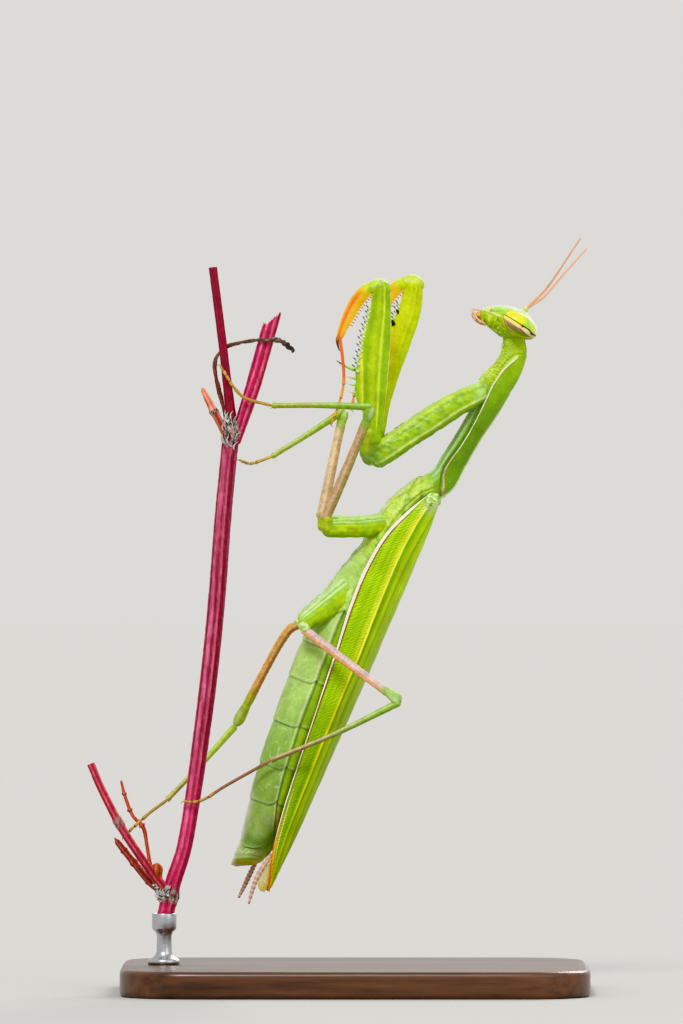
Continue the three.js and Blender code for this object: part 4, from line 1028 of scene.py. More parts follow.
def wing_finish(name):
    """Cross-veins from a sine of the distance along plus a slant, and cells from a Voronoi pattern."""
    material, tree = start_finish(name)
    colour = attribute(tree, "tint").outputs["Color"]
    where = attribute(tree, "where").outputs["Vector"]
    parts = node(tree, "SeparateXYZ", Vector=where)
    along, across = parts.outputs["X"], parts.outputs["Y"]
    wobble = times(tree, noise(tree, 1.3, 2), 1.3)
    wave = maths(tree, "SINE", times(tree, plus(tree, along, across, wobble), 2 * math.pi / 0.38))
    outside = scaled(tree, across, -0.25, -0.1, 1.0, 0)
    cross_veins = times(tree, wave, times(tree, outside, scaled(tree, parts.outputs["Z"], 0, 1, 1.0, 0)))
    cells = node(tree, "TexVoronoi", Vector=multiplied(tree, where, (1.6, 3.6, 0)), Scale=1.0)
    cells.feature = "DISTANCE_TO_EDGE"
    net = scaled(tree, cells.outputs["Distance"], 0, 0.1, 1.0, 0)
    net = times(tree, net, scaled(tree, across, -0.1, 0.2, 0.15, 1.0))
    # squeezed, so that noise on it runs in long streaks
    streaked = multiplied(tree, where, (0.1 * MM, 2.4 * MM, 0))
    stripes = scaled(tree, noise(tree, 1.0, 3, 0.6, streaked), 0.35, 0.65, -1.0, 1.0)
    change = plus(tree, times(tree, cross_veins, 0.2), times(tree, stripes, 0.16),
                  times(tree, net, 0.1), 1.0)
    blotch = scaled(tree, noise(tree, 2.4), 0.3, 0.7, 0.88, 1.12)
    varied = node(tree, "HueSaturation", Color=colour, Value=times(tree, change, blotch))
    specks = scaled(tree, noise(tree, 0.35, 1), 0.74, 0.78, 0, 0.6)
    colour = blend_colours(tree, specks, varied.outputs["Color"], rgb(84, 96, 12))
    roughness = scaled(tree, noise(tree, 0.6), 0.3, 0.7, 0.3, 0.46)
    height = plus(tree, times(tree, cross_veins, 0.5), net, times(tree, stripes, 0.4))
    end_finish(tree, colour, roughness, height, 0.6, 0.03, Specular_IOR_Level=0.25,
               **{**WAXY, "Coat_Weight": 0.05})
    return material


wing_leather = wing_finish("wing_leather")
print("finish:", wing_leather.name)

# %% Fore wings
WING_ROWS, VEIN_COLUMN = 400, 45
for name, side in (("left", 1), ("right", -1)):
    # close together at the edge and at the main vein
    crowd = (1 - np.cos(np.linspace(0, math.pi, VEIN_COLUMN + 1))) / 2
    inside = VEIN_SHARE + (1 - VEIN_SHARE) * np.linspace(0, 1, 56) ** 1.5
    q = np.concatenate([VEIN_SHARE * crowd[:-1], inside])
    Q, W = np.meshgrid(q, np.linspace(-0.03, 1, WING_ROWS), indexing="xy")
    middle = tegmen_middle(side, Q, W)
    gaps = np.linalg.norm(np.diff(middle, axis=1), axis=-1)
    across = np.concatenate([np.zeros((WING_ROWS, 1)), np.cumsum(gaps, axis=1)], axis=1)
    from_vein = across - across[:, [VEIN_COLUMN]]
    from_inner = across[:, [-1]] - across
    along = WING_LENGTH * W
    relief = 0.08 * ridge(from_vein, 0, 0.12) + 0.07 * ridge(across, 0.12, 0.16) * fade(W, 0.6, 0.9)
    relief -= 0.05 * ridge(from_vein, 0.32, 0.14) + 0.03 * ridge(across, 0.42, 0.08)
    # from the main vein, at the hinge and at the tip
    vein_ends = ((0.75, 0.5), (1.3, 0.9), (1.9, 1.3), (2.5, 1.7))
    long_veins = sum(ridge(from_vein, start + (end - start) * W, 0.07) for start, end in vein_ends)
    relief += 0.03 * long_veins + 0.03 * mottle(middle, 3.5, 60) + 0.03 * ridge(from_inner, 0.1, 0.12)
    relief += (0.25 * ridge(W, -0.002, 0.014) * ridge(from_vein, 0.3, 0.7)
               + 0.12 * ridge(W, 0.008, 0.012) * ridge(from_vein, -0.7, 0.4))
    relief *= step(W, -0.03, -0.02)
    costal = fade(from_vein, -0.3, -0.1)
    dark_line = (0.34 - 0.2 * step(W, 0.25, 0.6)) * step(W, -0.04, 0.05)
    orange_edge = step(W, 0.78, 0.9) * band(across, 0.08, 0.14, 0.26, 0.38)
    vein_yellow = coat(plain(middle, (240, 236, 80)), (236, 210, 20), step(W, 0.3, 0.6))
    top = paint(plain(middle, (176, 212, 16)), [
        ((150, 186, 20), step(W, 0.1, 0.6)),
        ((154, 194, 12), costal),
        ((120, 160, 14), costal * step(W, 0.3, 0.7) * 0.8),
        ((206, 214, 60), ridge(from_vein, -0.35, 0.28) * fade(W, 0.35, 0.6) * 0.8),
        ((120, 172, 8), ridge(from_vein, 0.45, 0.3)),
        ((112, 164, 8), ridge(from_vein, 1.5 - 0.5 * W, 0.3) * 0.6),
        ((186, 210, 16), ridge(from_vein, 1.0 - 0.3 * W, 0.25) * 0.7),
        ((196, 206, 24), long_veins * 0.4),
        (vein_yellow, step(ridge(from_vein, 0, 0.1 - 0.02 * step(W, 0.5, 0.9)), 0.25, 0.7)
         * (1 - 0.75 * step(W, 0.7, 0.85))),
        ((136, 50, 34), step(ridge(across, dark_line + 0.06, 0.075), 0.2, 0.6) * step(W, 0.01, 0.06)
         * (1 - 0.5 * step(W, 0.5, 0.8))),
        ((255, 250, 232), fade(across, dark_line - 0.05, dark_line + 0.02)),
        ((232, 176, 30), orange_edge * 0.9),
        ((226, 110, 14), step(W, 0.84, 0.92) * fade(across, 0.1, 0.2)),
        ((244, 236, 150), ridge(across, 0.44, 0.05) * band(W, 0.72, 0.8, 0.9, 0.95) * 0.8),
        ((206, 216, 30), step(W, 0.88, 1.0) * 0.6 * step(across, 0.2, 0.4)),
        ((206, 230, 160), ridge(W, -0.002, 0.02) * ridge(from_vein, 0.3, 0.9) * 0.9),
        # A pale line along the inner edge, at the wing's upper outline: a painted highlight.
        ((206, 224, 120), ridge(from_inner, 0, 0.12) * 0.8)])
    points = thin_sheet(middle, 0.17, relief)
    # The lower face has the upper face's colours at 0.8: painted shade.
    tint = np.concatenate([top, (top * 0.8)[:, ::-1]], axis=1)
    where = np.stack([along, from_vein, fade(across, dark_line, dark_line + 0.1)], -1)
    where = np.concatenate([where, where[:, ::-1]], axis=1)
    far = (1 - side) / 2  # the far root sits deeper, against the trunk
    out, back = side * np.array([1.2, 1.6, 1.7]) - 1.0 * far, np.array([-0.2, -0.35, -0.5]) - 0.8 * far
    hinge = wing_place(np.array([-0.85, -0.1, 0.9]), out, back)
    lump, *_ = tube(hinge, [0.6, 0.68, 0.4], [0.34, 0.4, 0.3], rows=50, around=48, caps=(0.4, 0.45))
    lump = push(lump, 0.1 * mottle(lump, 0.45, 66))
    lump_tint = coat(plain(lump, (150, 200, 60)), (226, 236, 196), blotches(lump, 0.45, 66, -0.3, 0.3) * 0.8)
    build(f"forewing_{name}_sheet", [(points, tint, where), (lump, lump_tint)], [f"forewing_{name}"],
          wing_leather)

# %% Hind wing tips
membrane = cuticle("wing_membrane", mottling=0.08, pits=0.2, depth=0.006, rough=(0.4, 0.55),
                   Subsurface_Weight=0.7, Subsurface_Radius=(1.0, 1.0, 0.7), Subsurface_Scale=0.002)
for name, side in (("left", 1), ("right", -1)):
    Q, W = np.meshgrid(np.linspace(0, 1, 30), np.linspace(0, 1, 60), indexing="xy")
    shape = np.sqrt(np.maximum(1 - (0.985 * W) ** 6, 0))
    u = 0.25 + 1.1 * Q * shape
    v = -0.5 - 0.95 * Q ** 1.5 * shape * (0.3 + 0.7 * W)
    middle = wing_place(43.2 + 4.1 * W, side * u, v)
    veins = np.abs(np.sin(Q * math.pi * 4)) ** 6
    points = thin_sheet(middle, 0.12, 0.03 * veins)
    top = coat(plain(middle, (255, 250, 130)), (255, 190, 50),
               np.clip(veins * 0.3 + step(W, 0.72, 0.9) * 0.8, 0, 1))
    build(f"hindwing_{name}_lobe", [(points, np.concatenate([top, top[:, ::-1]], axis=1))],
          [f"hindwing_{name}"], membrane)

# %% [markdown]
# ## The fore legs
# The fore legs are traps. The long coxa swings the femur forward, and the tibia snaps shut along it like a
# pocket knife. The femur is a deep blade with two rows of thorns and a few long ones, and the tibia is a
# comb that ends in a claw. Each piece is an oval tube with ridges along it, and the thorns are small bent
# cones set on its inner edge.

# %% Leg bends, in mm: y is the distance out from the middle plane
FORE = {
    "left": {
        "coxa": [[14.6, 1.0, 66.9], [11.3, 2.2, 65.3], [8.8, 2.7, 63.7], [5.9, 3.1, 61.8], [3.3, 3.4, 60.0],
                 [1.6, 3.5, 58.85]],
        "femur": [[2.0, 3.6, 61.4], [2.05, 3.6, 64.96], [2.14, 3.6, 68.5], [2.38, 3.6, 72.1],
                  [2.83, 3.6, 75.6], [2.95, 3.6, 79.15]],
        "tibia": [[2.6, 3.6, 78.3], [1.35, 3.6, 77.95], [0.25, 3.6, 76.75], [-0.6, 3.6, 75.3],
                  [-1.25, 3.6, 73.9], [-1.75, 3.6, 72.5]],
        "tarsus": [[-1.75, 3.6, 73.0], [-1.4, 3.55, 70.5], [-1.25, 3.5, 67.8], [-1.75, 3.4, 65.4],
                   [-2.7, 3.3, 62.9]],
        "knee": [[1.0, 3.6, 77.8], [2.7, 3.6, 78.3], [3.95, 3.6, 77.7]]},
    "right": {
        "coxa": [[14.6, 1.0, 66.9], [11.3, 2.2, 65.3], [8.8, 2.7, 63.8], [6.0, 3.1, 62.0], [3.6, 3.4, 60.4],
                 [1.9, 3.5, 59.3]],
        "femur": [[2.4, 3.6, 61.5], [2.6, 3.6, 65.2], [3.55, 3.6, 68.9], [4.85, 3.6, 72.5],
                  [6.15, 3.6, 76.0], [6.65, 3.6, 79.6]],
        "tibia": [[6.2, 3.6, 79.0], [4.95, 3.6, 78.6], [3.8, 3.6, 77.4], [2.95, 3.6, 75.9],
                  [2.35, 3.6, 74.2], [1.9, 3.6, 72.6]],
        "tarsus": [[1.9, 3.6, 73.0], [1.3, 3.5, 70.0], [0.6, 3.5, 68.2], [0.0, 3.4, 66.7],
                   [-0.4, 3.3, 64.6]],
        "knee": [[4.5, 3.6, 78.5], [6.3, 3.6, 78.8], [7.6, 3.6, 78.15]]}}


def lines(e, centres, width):
    """Raised lines along a leg: the sum of ridges in e, the cosine of the angle round it."""
    return sum(ridge(e, centre, width) for centre in centres)


print("femur length in mm:",
      round(float(np.linalg.norm(np.diff(FORE["left"]["femur"], axis=0), axis=1).sum()), 1))

# %% Fore coxa and trochanter


def fore_coxa(bends):
    """The coxa: pale above with white studs, streaked on its flank, and pale beside its dark lower edge."""
    points, t, angle = tube(bends, [1.15, 1.35, 1.45, 1.4, 1.35, 1.15], [0.9, 1.05, 1.1, 1.1, 1.1, 1.0],
                            rows=150, around=72, caps=(0.05, 0.09))
    e = np.cos(angle)
    relief = (0.07 * lines(e, (0.58, -0.72), 0.08) - 0.05 * lines(e, (0.42, -0.45), 0.12)
              + 0.04 * mottle(points, 0.7, 74))
    relief += 0.05 * mottle(points, 1.5, 71)
    relief *= band(t, 0.03, 0.12, 0.93, 1)
    tint = paint(plain(points, (158, 194, 30)), [
        ((190, 210, 60), ridge(e, -0.72, 0.2) * 0.8),
        ((150, 196, 96), blotches(points, 0.9, 73, -0.1, 0.5) * ridge(e, 0.05, 0.6) * 0.6),
        ((104, 152, 20), blotches(points, 0.7, 74, 0.2, 0.6) * ridge(e, -0.1, 0.6) * 0.6),
        ((176, 206, 140), fade(t + 0.05 * mottle(points, 1.0, 76), 0.03, 0.13) * 0.6),
        ((172, 200, 110), fade(e, -0.95, -0.6) * (0.4 + 0.3 * step(t, 0, 0.3)) * fade(t, 0.7, 0.95)),
        ((114, 158, 24), step(e, 0.62, 0.85) * 0.85),
        ((112, 160, 20), ridge(e, -0.42, 0.13) * 0.7),
        ((214, 226, 130), ridge(e, 0.58, 0.07) * 0.9),
        ((92, 142, 20), step(t, 0.8, 0.95) * 0.75),
        ((170, 202, 130), step(t, 0.8, 0.95) * blotches(points, 0.7, 79, 0, 0.5) * 0.6)])
    points = push(points, relief)
    rows = np.linspace(12, 128, 17).astype(int)
    columns = 36 + np.where(np.arange(17) % 2, 3, -3) + np.round(2 * np.sin(np.arange(17) * 2.3)).astype(int)
    roots = points[rows, columns]
    out = unit(roots - points[rows].mean(axis=1))
    studs = spikes(roots - 0.04 * out, roots + 0.1 * out, 0.08, (190, 214, 90), CREAM, rows=4, around=7)
    return [(points, tint), studs]


def knee(places, girth, flesh):
    """A rounded cap over the joint of femur and tibia: a short fat tube, with a painted highlight on top."""
    points, *_ = tube(places, [0.7, girth, 0.92 * girth], [0.6, 0.66, 0.6], rows=44, around=48,
                      caps=(0.48, 0.46))
    points = push(points, 0.04 * mottle(points, 1.1, 77))
    depth = points[..., 2].max() - points[..., 2]
    # Pale green mottling on the upper part is partly the cap's own colour and partly painted highlight, and
    # the whitish top is a painted highlight.
    tint = coat(plain(points, flesh), (190, 220, 120),
                blotches(points, 0.8, 78, 0, 0.5) * fade(depth, 0.5, 1.3) * 0.8)
    return [(points, coat(tint, (226, 236, 196), fade(depth, 0, 0.3) * 0.8))]


def trochanter(bends):
    """A short knuckle from the coxa's end up to the femur."""
    ends = spline(bends["coxa"], 0.93), spline(bends["femur"], 0.07)
    middle = (ends[0] + ends[1]) / 2 - [0.4, 0, 0.1]
    places = np.stack([ends[0] + [0.15, 0, -0.75], middle, ends[1] + [0, 0, 0.5]])
    points, t, angle = tube(places, [1.32, 1.26, 1.0], [1.0, 0.95, 0.85], rows=50, around=48,
                            caps=(0.22, 0.25))
    points = push(points, 0.05 * mottle(points, 1.0, 75) - 0.05 * ridge(t, 0.5, 0.05))
    tint = paint(plain(points, (146, 184, 16)), [
        ((104, 140, 12), ridge(t, 0.5, 0.06) * 0.7),
        ((206, 206, 60), ridge(np.cos(angle), 0.35, 0.3) * 0.5),
        ((92, 142, 20), fade(t, 0.2, 0.5) * 0.75),
        ((170, 202, 130), fade(t, 0.2, 0.45) * blotches(points, 0.7, 79, 0, 0.5) * 0.6)])
    return [(points, tint)]


print("coxa patches:", len(fore_coxa(on_side(FORE["left"]["coxa"], -1))))

# %% Fore femur
FEMUR_ROWS = 190


def fore_femur(bends, side, inner_view):
    """The femur blade, with two rows of thorns, four long ones, and the bright inner face where it shows."""
    depth = [0.8, 1.27, 1.5, 1.53, 1.16, 0.88] if side < 0 else [0.85, 1.25, 1.4, 1.42, 1.2, 0.9]
    points, t, angle = tube(bends, depth, [0.75, 0.9, 0.95, 0.95, 0.88, 0.78], rows=FEMUR_ROWS, around=84,
                            caps=(0.04, 0.075))
    e, face = np.cos(angle), np.sin(angle) * side
    keep = band(t, 0.02, 0.1, 0.9, 1.0)
    relief = (0.09 * ridge(e, -0.36, 0.07) + 0.05 * ridge(e, 0.95, 0.06) - 0.07 * ridge(e, 0.62, 0.2)
              - 0.05 * ridge(e, -0.12, 0.08))
    relief += 0.05 * ridge(e, -0.97, 0.04) - 0.06 * ridge(e, -0.65, 0.15) + 0.03 * mottle(points, 1.1, 81)
    relief += 0.6 * ridge(e, 1.02, 0.1) * band(t, 0.16, 0.26, 0.4, 0.56) * (side < 0)
    relief = relief * keep + 0.1 * ridge(t, 0.955, 0.03) * (1 - ridge(np.abs(face), 0, 0.5))
    flange = band(t, 0.16, 0.26, 0.42, 0.56) * (side < 0)
    inner = step(-face, -0.1, 0.25) if inner_view else 0 * e
    stripes = ridge(e, 0.66, 0.16) + ridge(e, -0.68, 0.16) + 0.8 * ridge(e, -0.14, 0.06)
    tint = paint(plain(points, (150, 186, 6)), [
        ((120, 172, 8), np.clip(stripes, 0, 1) * 0.62 * keep),
        ((188, 196, 20), ridge(e, 0.15, 0.2) * 0.6 * keep),
        ((214, 224, 74), ridge(e, -0.36, 0.1) * keep * 0.85),
        ((146, 196, 14), step(e, 0.9, 0.95) * flange),
        ((236, 222, 60), ridge(e, 0.97 - 0.1 * flange, 0.045) * keep),
        ((220, 226, 150), ridge(e, -0.98, 0.03) * keep),
        ((200, 214, 6), inner * 0.85),
        ((236, 190, 20), inner * ridge(t, 0.35, 0.25) * ridge(e, 0.3, 0.5) * 0.7),
        ((196, 222, 130), step(t, 0.93, 0.985) * blotches(points, 0.8, 78, -0.2, 0.4) * 0.7),
        # The whitish topmost part of the femur's end is a painted highlight.
        ((226, 236, 196), step(points[..., 2], points[..., 2].max() - 0.35, points[..., 2].max()) * 0.7)])
    points = push(points, relief)
    patches = [(points, tint)]
    small = np.arange(20)
    rows = (FEMUR_ROWS * (0.46 + 0.44 * small / 19)).astype(int)
    columns = np.where(small % 2, 4, -4)
    roots = points[rows, columns]
    reach = np.where(small % 2, 0.95, 0.6)[:, None] * (1 - 0.25 * small / 19)[:, None]
    aims = unit(np.stack([-0.8 + 0 * small, 0.25 * np.where(small % 2, 1, -1), 0.5 + 0.02 * small], -1))
    tips = roots + reach * aims
    patches.append(spikes(roots + [0.1, 0, 0], tips, 0.17, (206, 224, 170), BLACK, bend=0.06))
    rows = np.array([88, 78, 70, 60])  # of the long thorns
    roots = points[rows, 0]
    aims = np.array([[-1.0, 0.1, 0.55], [-1.0, -0.25, 0.3], [-1.0, 0.2, 0.25], [-1.0, -0.2, 0.2]])
    tips = roots + unit(aims) * np.array([2.5, 1.2, 1.1, 0.9])[:, None]
    sunk = roots + [0.25, 0, 0]
    patches.append(spikes(sunk[:1], tips[:1], 0.2, (150, 200, 80), (50, 40, 30), bend=0.05))
    patches.append(spikes(sunk[1:], tips[1:], 0.18, (170, 210, 120), (206, 216, 160), bend=0.05))
    if side > 0:
        roots = np.array([[4.95, 3.35, 75.35], [4.35, 3.2, 74.15]])
        tips = roots + [[-0.35, -0.2, 0.55], [-0.25, -0.2, 0.6]]
        patches.append(spikes(roots, tips, 0.27, BLACK, BLACK, rows=8, around=12))
    return patches


print("femur rows:", FEMUR_ROWS)

# %% Fore tibia and claw
TIBIA_ROWS = 110


def fore_tibia(bends):
    """The tibia's comb: a curved orange blade with small teeth, and a hooked brown claw at its end."""
    points, t, angle = tube(bends, [0.6, 0.68, 0.72, 0.64, 0.5, 0.34], [0.46, 0.46, 0.42, 0.38, 0.33, 0.25],
                            rows=TIBIA_ROWS, around=48, caps=(0.06, 0.05))
    e = np.cos(angle)
    points = push(points, (0.05 * ridge(e, -0.9, 0.12) - 0.04 * ridge(e, -0.45, 0.15)
                           + 0.05 * ridge(e, 0.9, 0.1)) * step(t, 0.1, 0.2))
    tint = paint(plain(points, (240, 190, 16)), [
        ((176, 204, 24), fade(t, 0.14, 0.36)),
        ((240, 96, 4), ridge(e, -0.42, 0.3) * step(t, 0.2, 0.4) * 0.95),
        ((250, 186, 10), step(e, 0.1, 0.7) * step(t, 0.15, 0.4) * 0.9),
        ((252, 214, 130), fade(e, -0.97, -0.86) * step(t, 0.05, 0.2) * 0.9),
        ((206, 110, 60), step(t, 0.85, 1.0) * 0.6)])
    patches = [(points, tint)]
    teeth = np.arange(12)
    for offset in (-3, 3):
        roots = points[(TIBIA_ROWS * (0.22 + 0.6 * teeth / 11)).astype(int), offset]
        down = np.array([0.72, 0.12 * np.sign(offset), -0.55])
        patches.append(spikes(roots - 0.06 * down, roots + 0.42 * down, 0.12, (240, 196, 60), (150, 80, 30),
                              rows=5, around=6))
    root = spline(bends, 0.9)
    hook = root + np.array([[0, 0, 0], [-0.42, 0, -0.7], [-0.42, 0, -1.3], [-0.2, 0, -2.1]])
    points, t, _ = tube(hook, [0.27, 0.2, 0.13, 0.04], [0.24, 0.18, 0.12, 0.04], rows=30, around=14,
                        caps=(0.05, 0.04))
    patches.append((points, coat(plain(points, (196, 110, 50)), (70, 34, 22), step(t, 0.25, 0.7))))
    return patches


print("tibia rows:", TIBIA_ROWS)

# %% Feet


def foot(places, radius, shares, colour, joint, thorn=0.28):
    """A foot of five joints: a tube that swells at each joint, with two spurs there and two claws last.

    Its first joint is the thickest, and the others are paler, with brown at their waists.
    """
    shares = np.asarray(shares)
    points, t, _ = tube(places, radius * np.array([1, 0.95, 0.8, 0.7]), rows=150, around=18,
                        caps=(0.03, 0.03))
    swell = sum(ridge(t, share, 0.02) + 0.5 * ridge(t, share - 0.04, 0.03) for share in shares)
    waist = sum(ridge(t, share + 0.025, 0.012) for share in shares)
    points = push(points, radius * (0.28 * swell - 0.3 * waist))
    tint = paint(plain(points, colour), [
        (joint, np.clip(swell * 0.7 + 0.7 * step(t, shares[0], shares[0] + 0.05), 0, 1)),
        ((110, 70, 30), np.clip(waist * 0.7 + 0.5 * blotches(points, 0.5, 99, 0.2, 0.7), 0, 1)
         * step(t, shares[0], shares[0] + 0.03))])
    tangent = unit(spline(places, shares + 0.01) - spline(places, shares - 0.01))
    centre = spline(places, shares)
    below = unit(np.cross(tangent, ACROSS))
    patches = [(points, tint)]
    for sign in (-1, 1):
        aim = unit(tangent + 0.9 * below + 0.5 * sign * ACROSS)
        patches.append(spikes(centre, centre + thorn * aim + 0.1 * below, radius * 0.45, colour,
                              (110, 66, 40), rows=5, around=6))
        end, heading = spline(places, 0.97), unit(spline(places, 1.0) - spline(places, 0.95))
        claw = (end + np.array([0, 0.14, 0.3, 0.4])[:, None] * heading
                + np.array([0, 0.02, 0.1, 0.28])[:, None] * below[-1])
        claw = claw + sign * np.array([0.02, 0.1, 0.14, 0.13])[:, None] * ACROSS
        points, t, _ = tube(claw, [radius * 0.45, radius * 0.35, radius * 0.2, 0.02], rows=18, around=10)
        patches.append((points, coat(plain(points, joint), (70, 36, 24), step(t, 0.4, 0.8))))
    return patches


FORE_JOINTS = [0.52, 0.68, 0.8, 0.89]  # where a foot's joints end, as shares of its length
WALKING_JOINTS = [0.45, 0.62, 0.75, 0.86]
print("joints of a foot:", len(FORE_JOINTS) + 1)

# %% Fore legs
for name, side in (("left", -1), ("right", 1)):
    bends = {part: on_side(places, side) for part, places in FORE[name].items()}
    patches = (fore_coxa(bends["coxa"]) + trochanter(bends)
               + fore_femur(bends["femur"], side, name == "right"))
    patches += fore_tibia(bends["tibia"])
    patches += knee(bends["knee"], *((0.88, (166, 200, 20)) if side < 0 else (1.0, (192, 210, 14))))
    patches += foot(bends["tarsus"], 0.175, FORE_JOINTS, (232, 106, 26), (240, 170, 70), thorn=0.22)
    nodes = [f"fore_{part}_{name}" for part in ("coxa", "trochanter", "femur", "tibia", "tarsus")]
    build(f"fore_leg_{name}", patches, nodes, shell)

# %% [markdown]
# ## The walking legs
# The middle and hind legs are thin stilts. Their coxae are thick ridged knuckles, the femora are beige with
# brown freckles and turn green at the knee, and the feet hook round the stem. They could be bent from wire
# and coated. Here each piece is a tube along its own bend with a swelling at each joint, so one skin runs
# from body to foot.

# %% Walking leg bends and colours
MIDDLE = {
    "left": {
        "coxa": [[4.0, 1.6, 51.9], [0.2, 3.0, 51.6], [-3.75, 3.9, 51.6]],
        "femur": [[-3.4, 4.0, 52.3], [-0.75, 6.1, 58.4], [1.9, 8.2, 64.9]],
        "tibia": [[1.9, 8.2, 64.9], [-3.7, 5.3, 65.1], [-9.2, 2.4, 65.1]],
        "tarsus": [[-9.2, 2.4, 65.1], [-12.1, 1.8, 65.9], [-13.4, 1.5, 67.1], [-14.2, 1.3, 68.3],
                   [-15.0, 0.9, 69.6]]},
    "right": {
        "coxa": [[4.0, 1.6, 51.9], [0.0, 3.0, 51.8], [-3.6, 3.9, 51.9]],
        "femur": [[-3.75, 4.1, 52.5], [-2.5, 7.1, 58.6], [-1.2, 10.4, 64.7]],
        "tibia": [[-1.2, 10.4, 64.7], [-5.2, 5.9, 62.0], [-9.2, 1.4, 59.5]],
        "tarsus": [[-9.2, 1.4, 59.5], [-10.5, 1.0, 59.0], [-11.7, 0.7, 58.7], [-12.9, 0.5, 59.1]]}}
HIND = {
    "left": {
        "coxa": [[1.2, 1.0, 45.9], [-1.3, 2.1, 44.1], [-4.1, 3.6, 42.1], [-6.1, 4.4, 40.75]],
        "femur": [[-5.85, 4.5, 40.45], [-0.4, 7.7, 36.3], [5.0, 11.0, 32.4]],
        "tibia": [[5.0, 11.0, 32.4], [-2.2, 7.6, 28.8], [-9.3, 4.2, 25.8]],
        "tarsus": [[-9.3, 4.2, 25.8], [-14.4, 2.2, 22.9], [-16.4, 1.7, 21.6], [-17.9, 1.5, 21.1],
                   [-19.0, 1.3, 21.2]]},
    "right": {
        "coxa": [[1.2, 1.6, 45.9], [-1.3, 3.0, 44.3], [-4.1, 3.9, 42.4], [-6.2, 4.4, 40.95]],
        "femur": [[-6.2, 4.5, 40.9], [-8.2, 5.8, 39.0], [-13.4, 11.4, 29.3]],
        "tibia": [[-13.4, 11.4, 29.3], [-17.1, 5.2, 25.2], [-20.9, -1.0, 21.3]],
        "tarsus": [[-20.9, -1.0, 21.3], [-22.8, -1.2, 19.9], [-24.6, -1.4, 18.3], [-25.8, -1.2, 17.2]]}}
COXA_SIZES = {"middle": [1.3, 1.12, 1.06], "hind": [1.85, 1.65, 1.25, 0.85]}
GIRTHS = {  # of the femur and of the tibia
    "middle": ([0.58, 0.58, 0.54, 0.5, 0.58], [0.42, 0.34, 0.28, 0.28]),
    "hind": ([0.46, 0.5, 0.48, 0.46, 0.6], [0.4, 0.31, 0.25, 0.26])}
LEG_COLOURS = {  # femur above, femur below, tibia at the knee, tibia at the foot, foot
    ("middle", "left"): ((196, 160, 118), (168, 150, 84), (126, 170, 46), (156, 168, 56), (170, 132, 56)),
    ("middle", "right"): ((214, 186, 146), (190, 156, 112), (140, 176, 40), (164, 180, 80), (196, 160, 74)),
    ("hind", "left"): ((204, 178, 178), (224, 162, 112), (146, 184, 78), (168, 140, 104), (150, 108, 78)),
    ("hind", "right"): ((226, 170, 92), (206, 136, 62), (176, 204, 60), (160, 156, 70), (160, 130, 60))}
print("walking legs:", len(LEG_COLOURS))

# %% Walking coxa and its joint


def walking_coxa(places, sizes, pair):
    """A thick ridged knuckle, pale along its upper ridges, with a round end over the root of the femur."""
    points, t, angle = tube(places, sizes, [0.8 * size for size in sizes], rows=110, around=72,
                            caps=(0.05, 0.1))
    e = np.cos(angle)
    keep = band(t, 0.05, 0.2, 0.85, 1)
    relief = (0.07 * lines(e, (-0.8, -0.52), 0.08) + 0.04 * lines(e, (-0.05, 0.4), 0.14)
              - 0.04 * lines(e, (-0.66, -0.34), 0.08))
    relief += 0.08 * mottle(points, 1.4, 91)
    points = push(points, relief * keep)
    pale = (206, 226, 184)
    pale_ridges = lines(e, (-0.8, -0.52), 0.07) + 0.5 * ridge(e, -0.98, 0.1)
    tint = paint(plain(points, (150, 188, 12)), [
        ((196, 208, 10), blotches(points, 2.2, 93, 0, 0.9) * keep * 0.5),
        ((166, 204, 80), fade(e, -0.45, -0.1) * 0.7),
        (pale, pale_ridges * keep * (0.85 if pair == "hind" else 0.45)),
        ((116, 164, 40), lines(e, (-0.66, -0.34), 0.06) * keep * 0.6),
        ((106, 146, 16), step(e, 0.55, 0.9) * 0.6),
        ((196, 186, 90), blotches(points, 0.5, 92, 0.3, 0.7) * step(t, 0.88, 0.98) * 0.5)])
    return [(points, tint)]


ROOT_COLOURS = {"middle": ((160, 184, 24), (176, 176, 70)), "hind": ((170, 202, 90), (226, 236, 214))}


def root_joint(bends, pair):
    """The short knuckle between coxa and femur: pale and creased."""
    start = bends["femur"][0] + [0.3, 0, -1.4] if pair == "middle" else bends["coxa"][-1] + [0.1, 0, 0.35]
    end = spline(bends["femur"], 0.06)
    girth = 0.66 if pair == "middle" else 0.58
    places = np.stack([start, (start + end) / 2, end])
    points, t, _ = tube(places, [girth, girth, 0.8 * girth], [girth] * 3, rows=40, around=40,
                        caps=(0.3, 0.25))
    points = push(points, 0.06 * mottle(points, 0.6, 99) - 0.05 * ridge(t, 0.6, 0.06))
    flesh, pale = ROOT_COLOURS[pair]
    return [(points, coat(plain(points, flesh), pale, blotches(points, 0.7, 92, -0.2, 0.8) * 0.6))]


print("colours of the joint:", len(ROOT_COLOURS))

# %% Walking femur and tibia


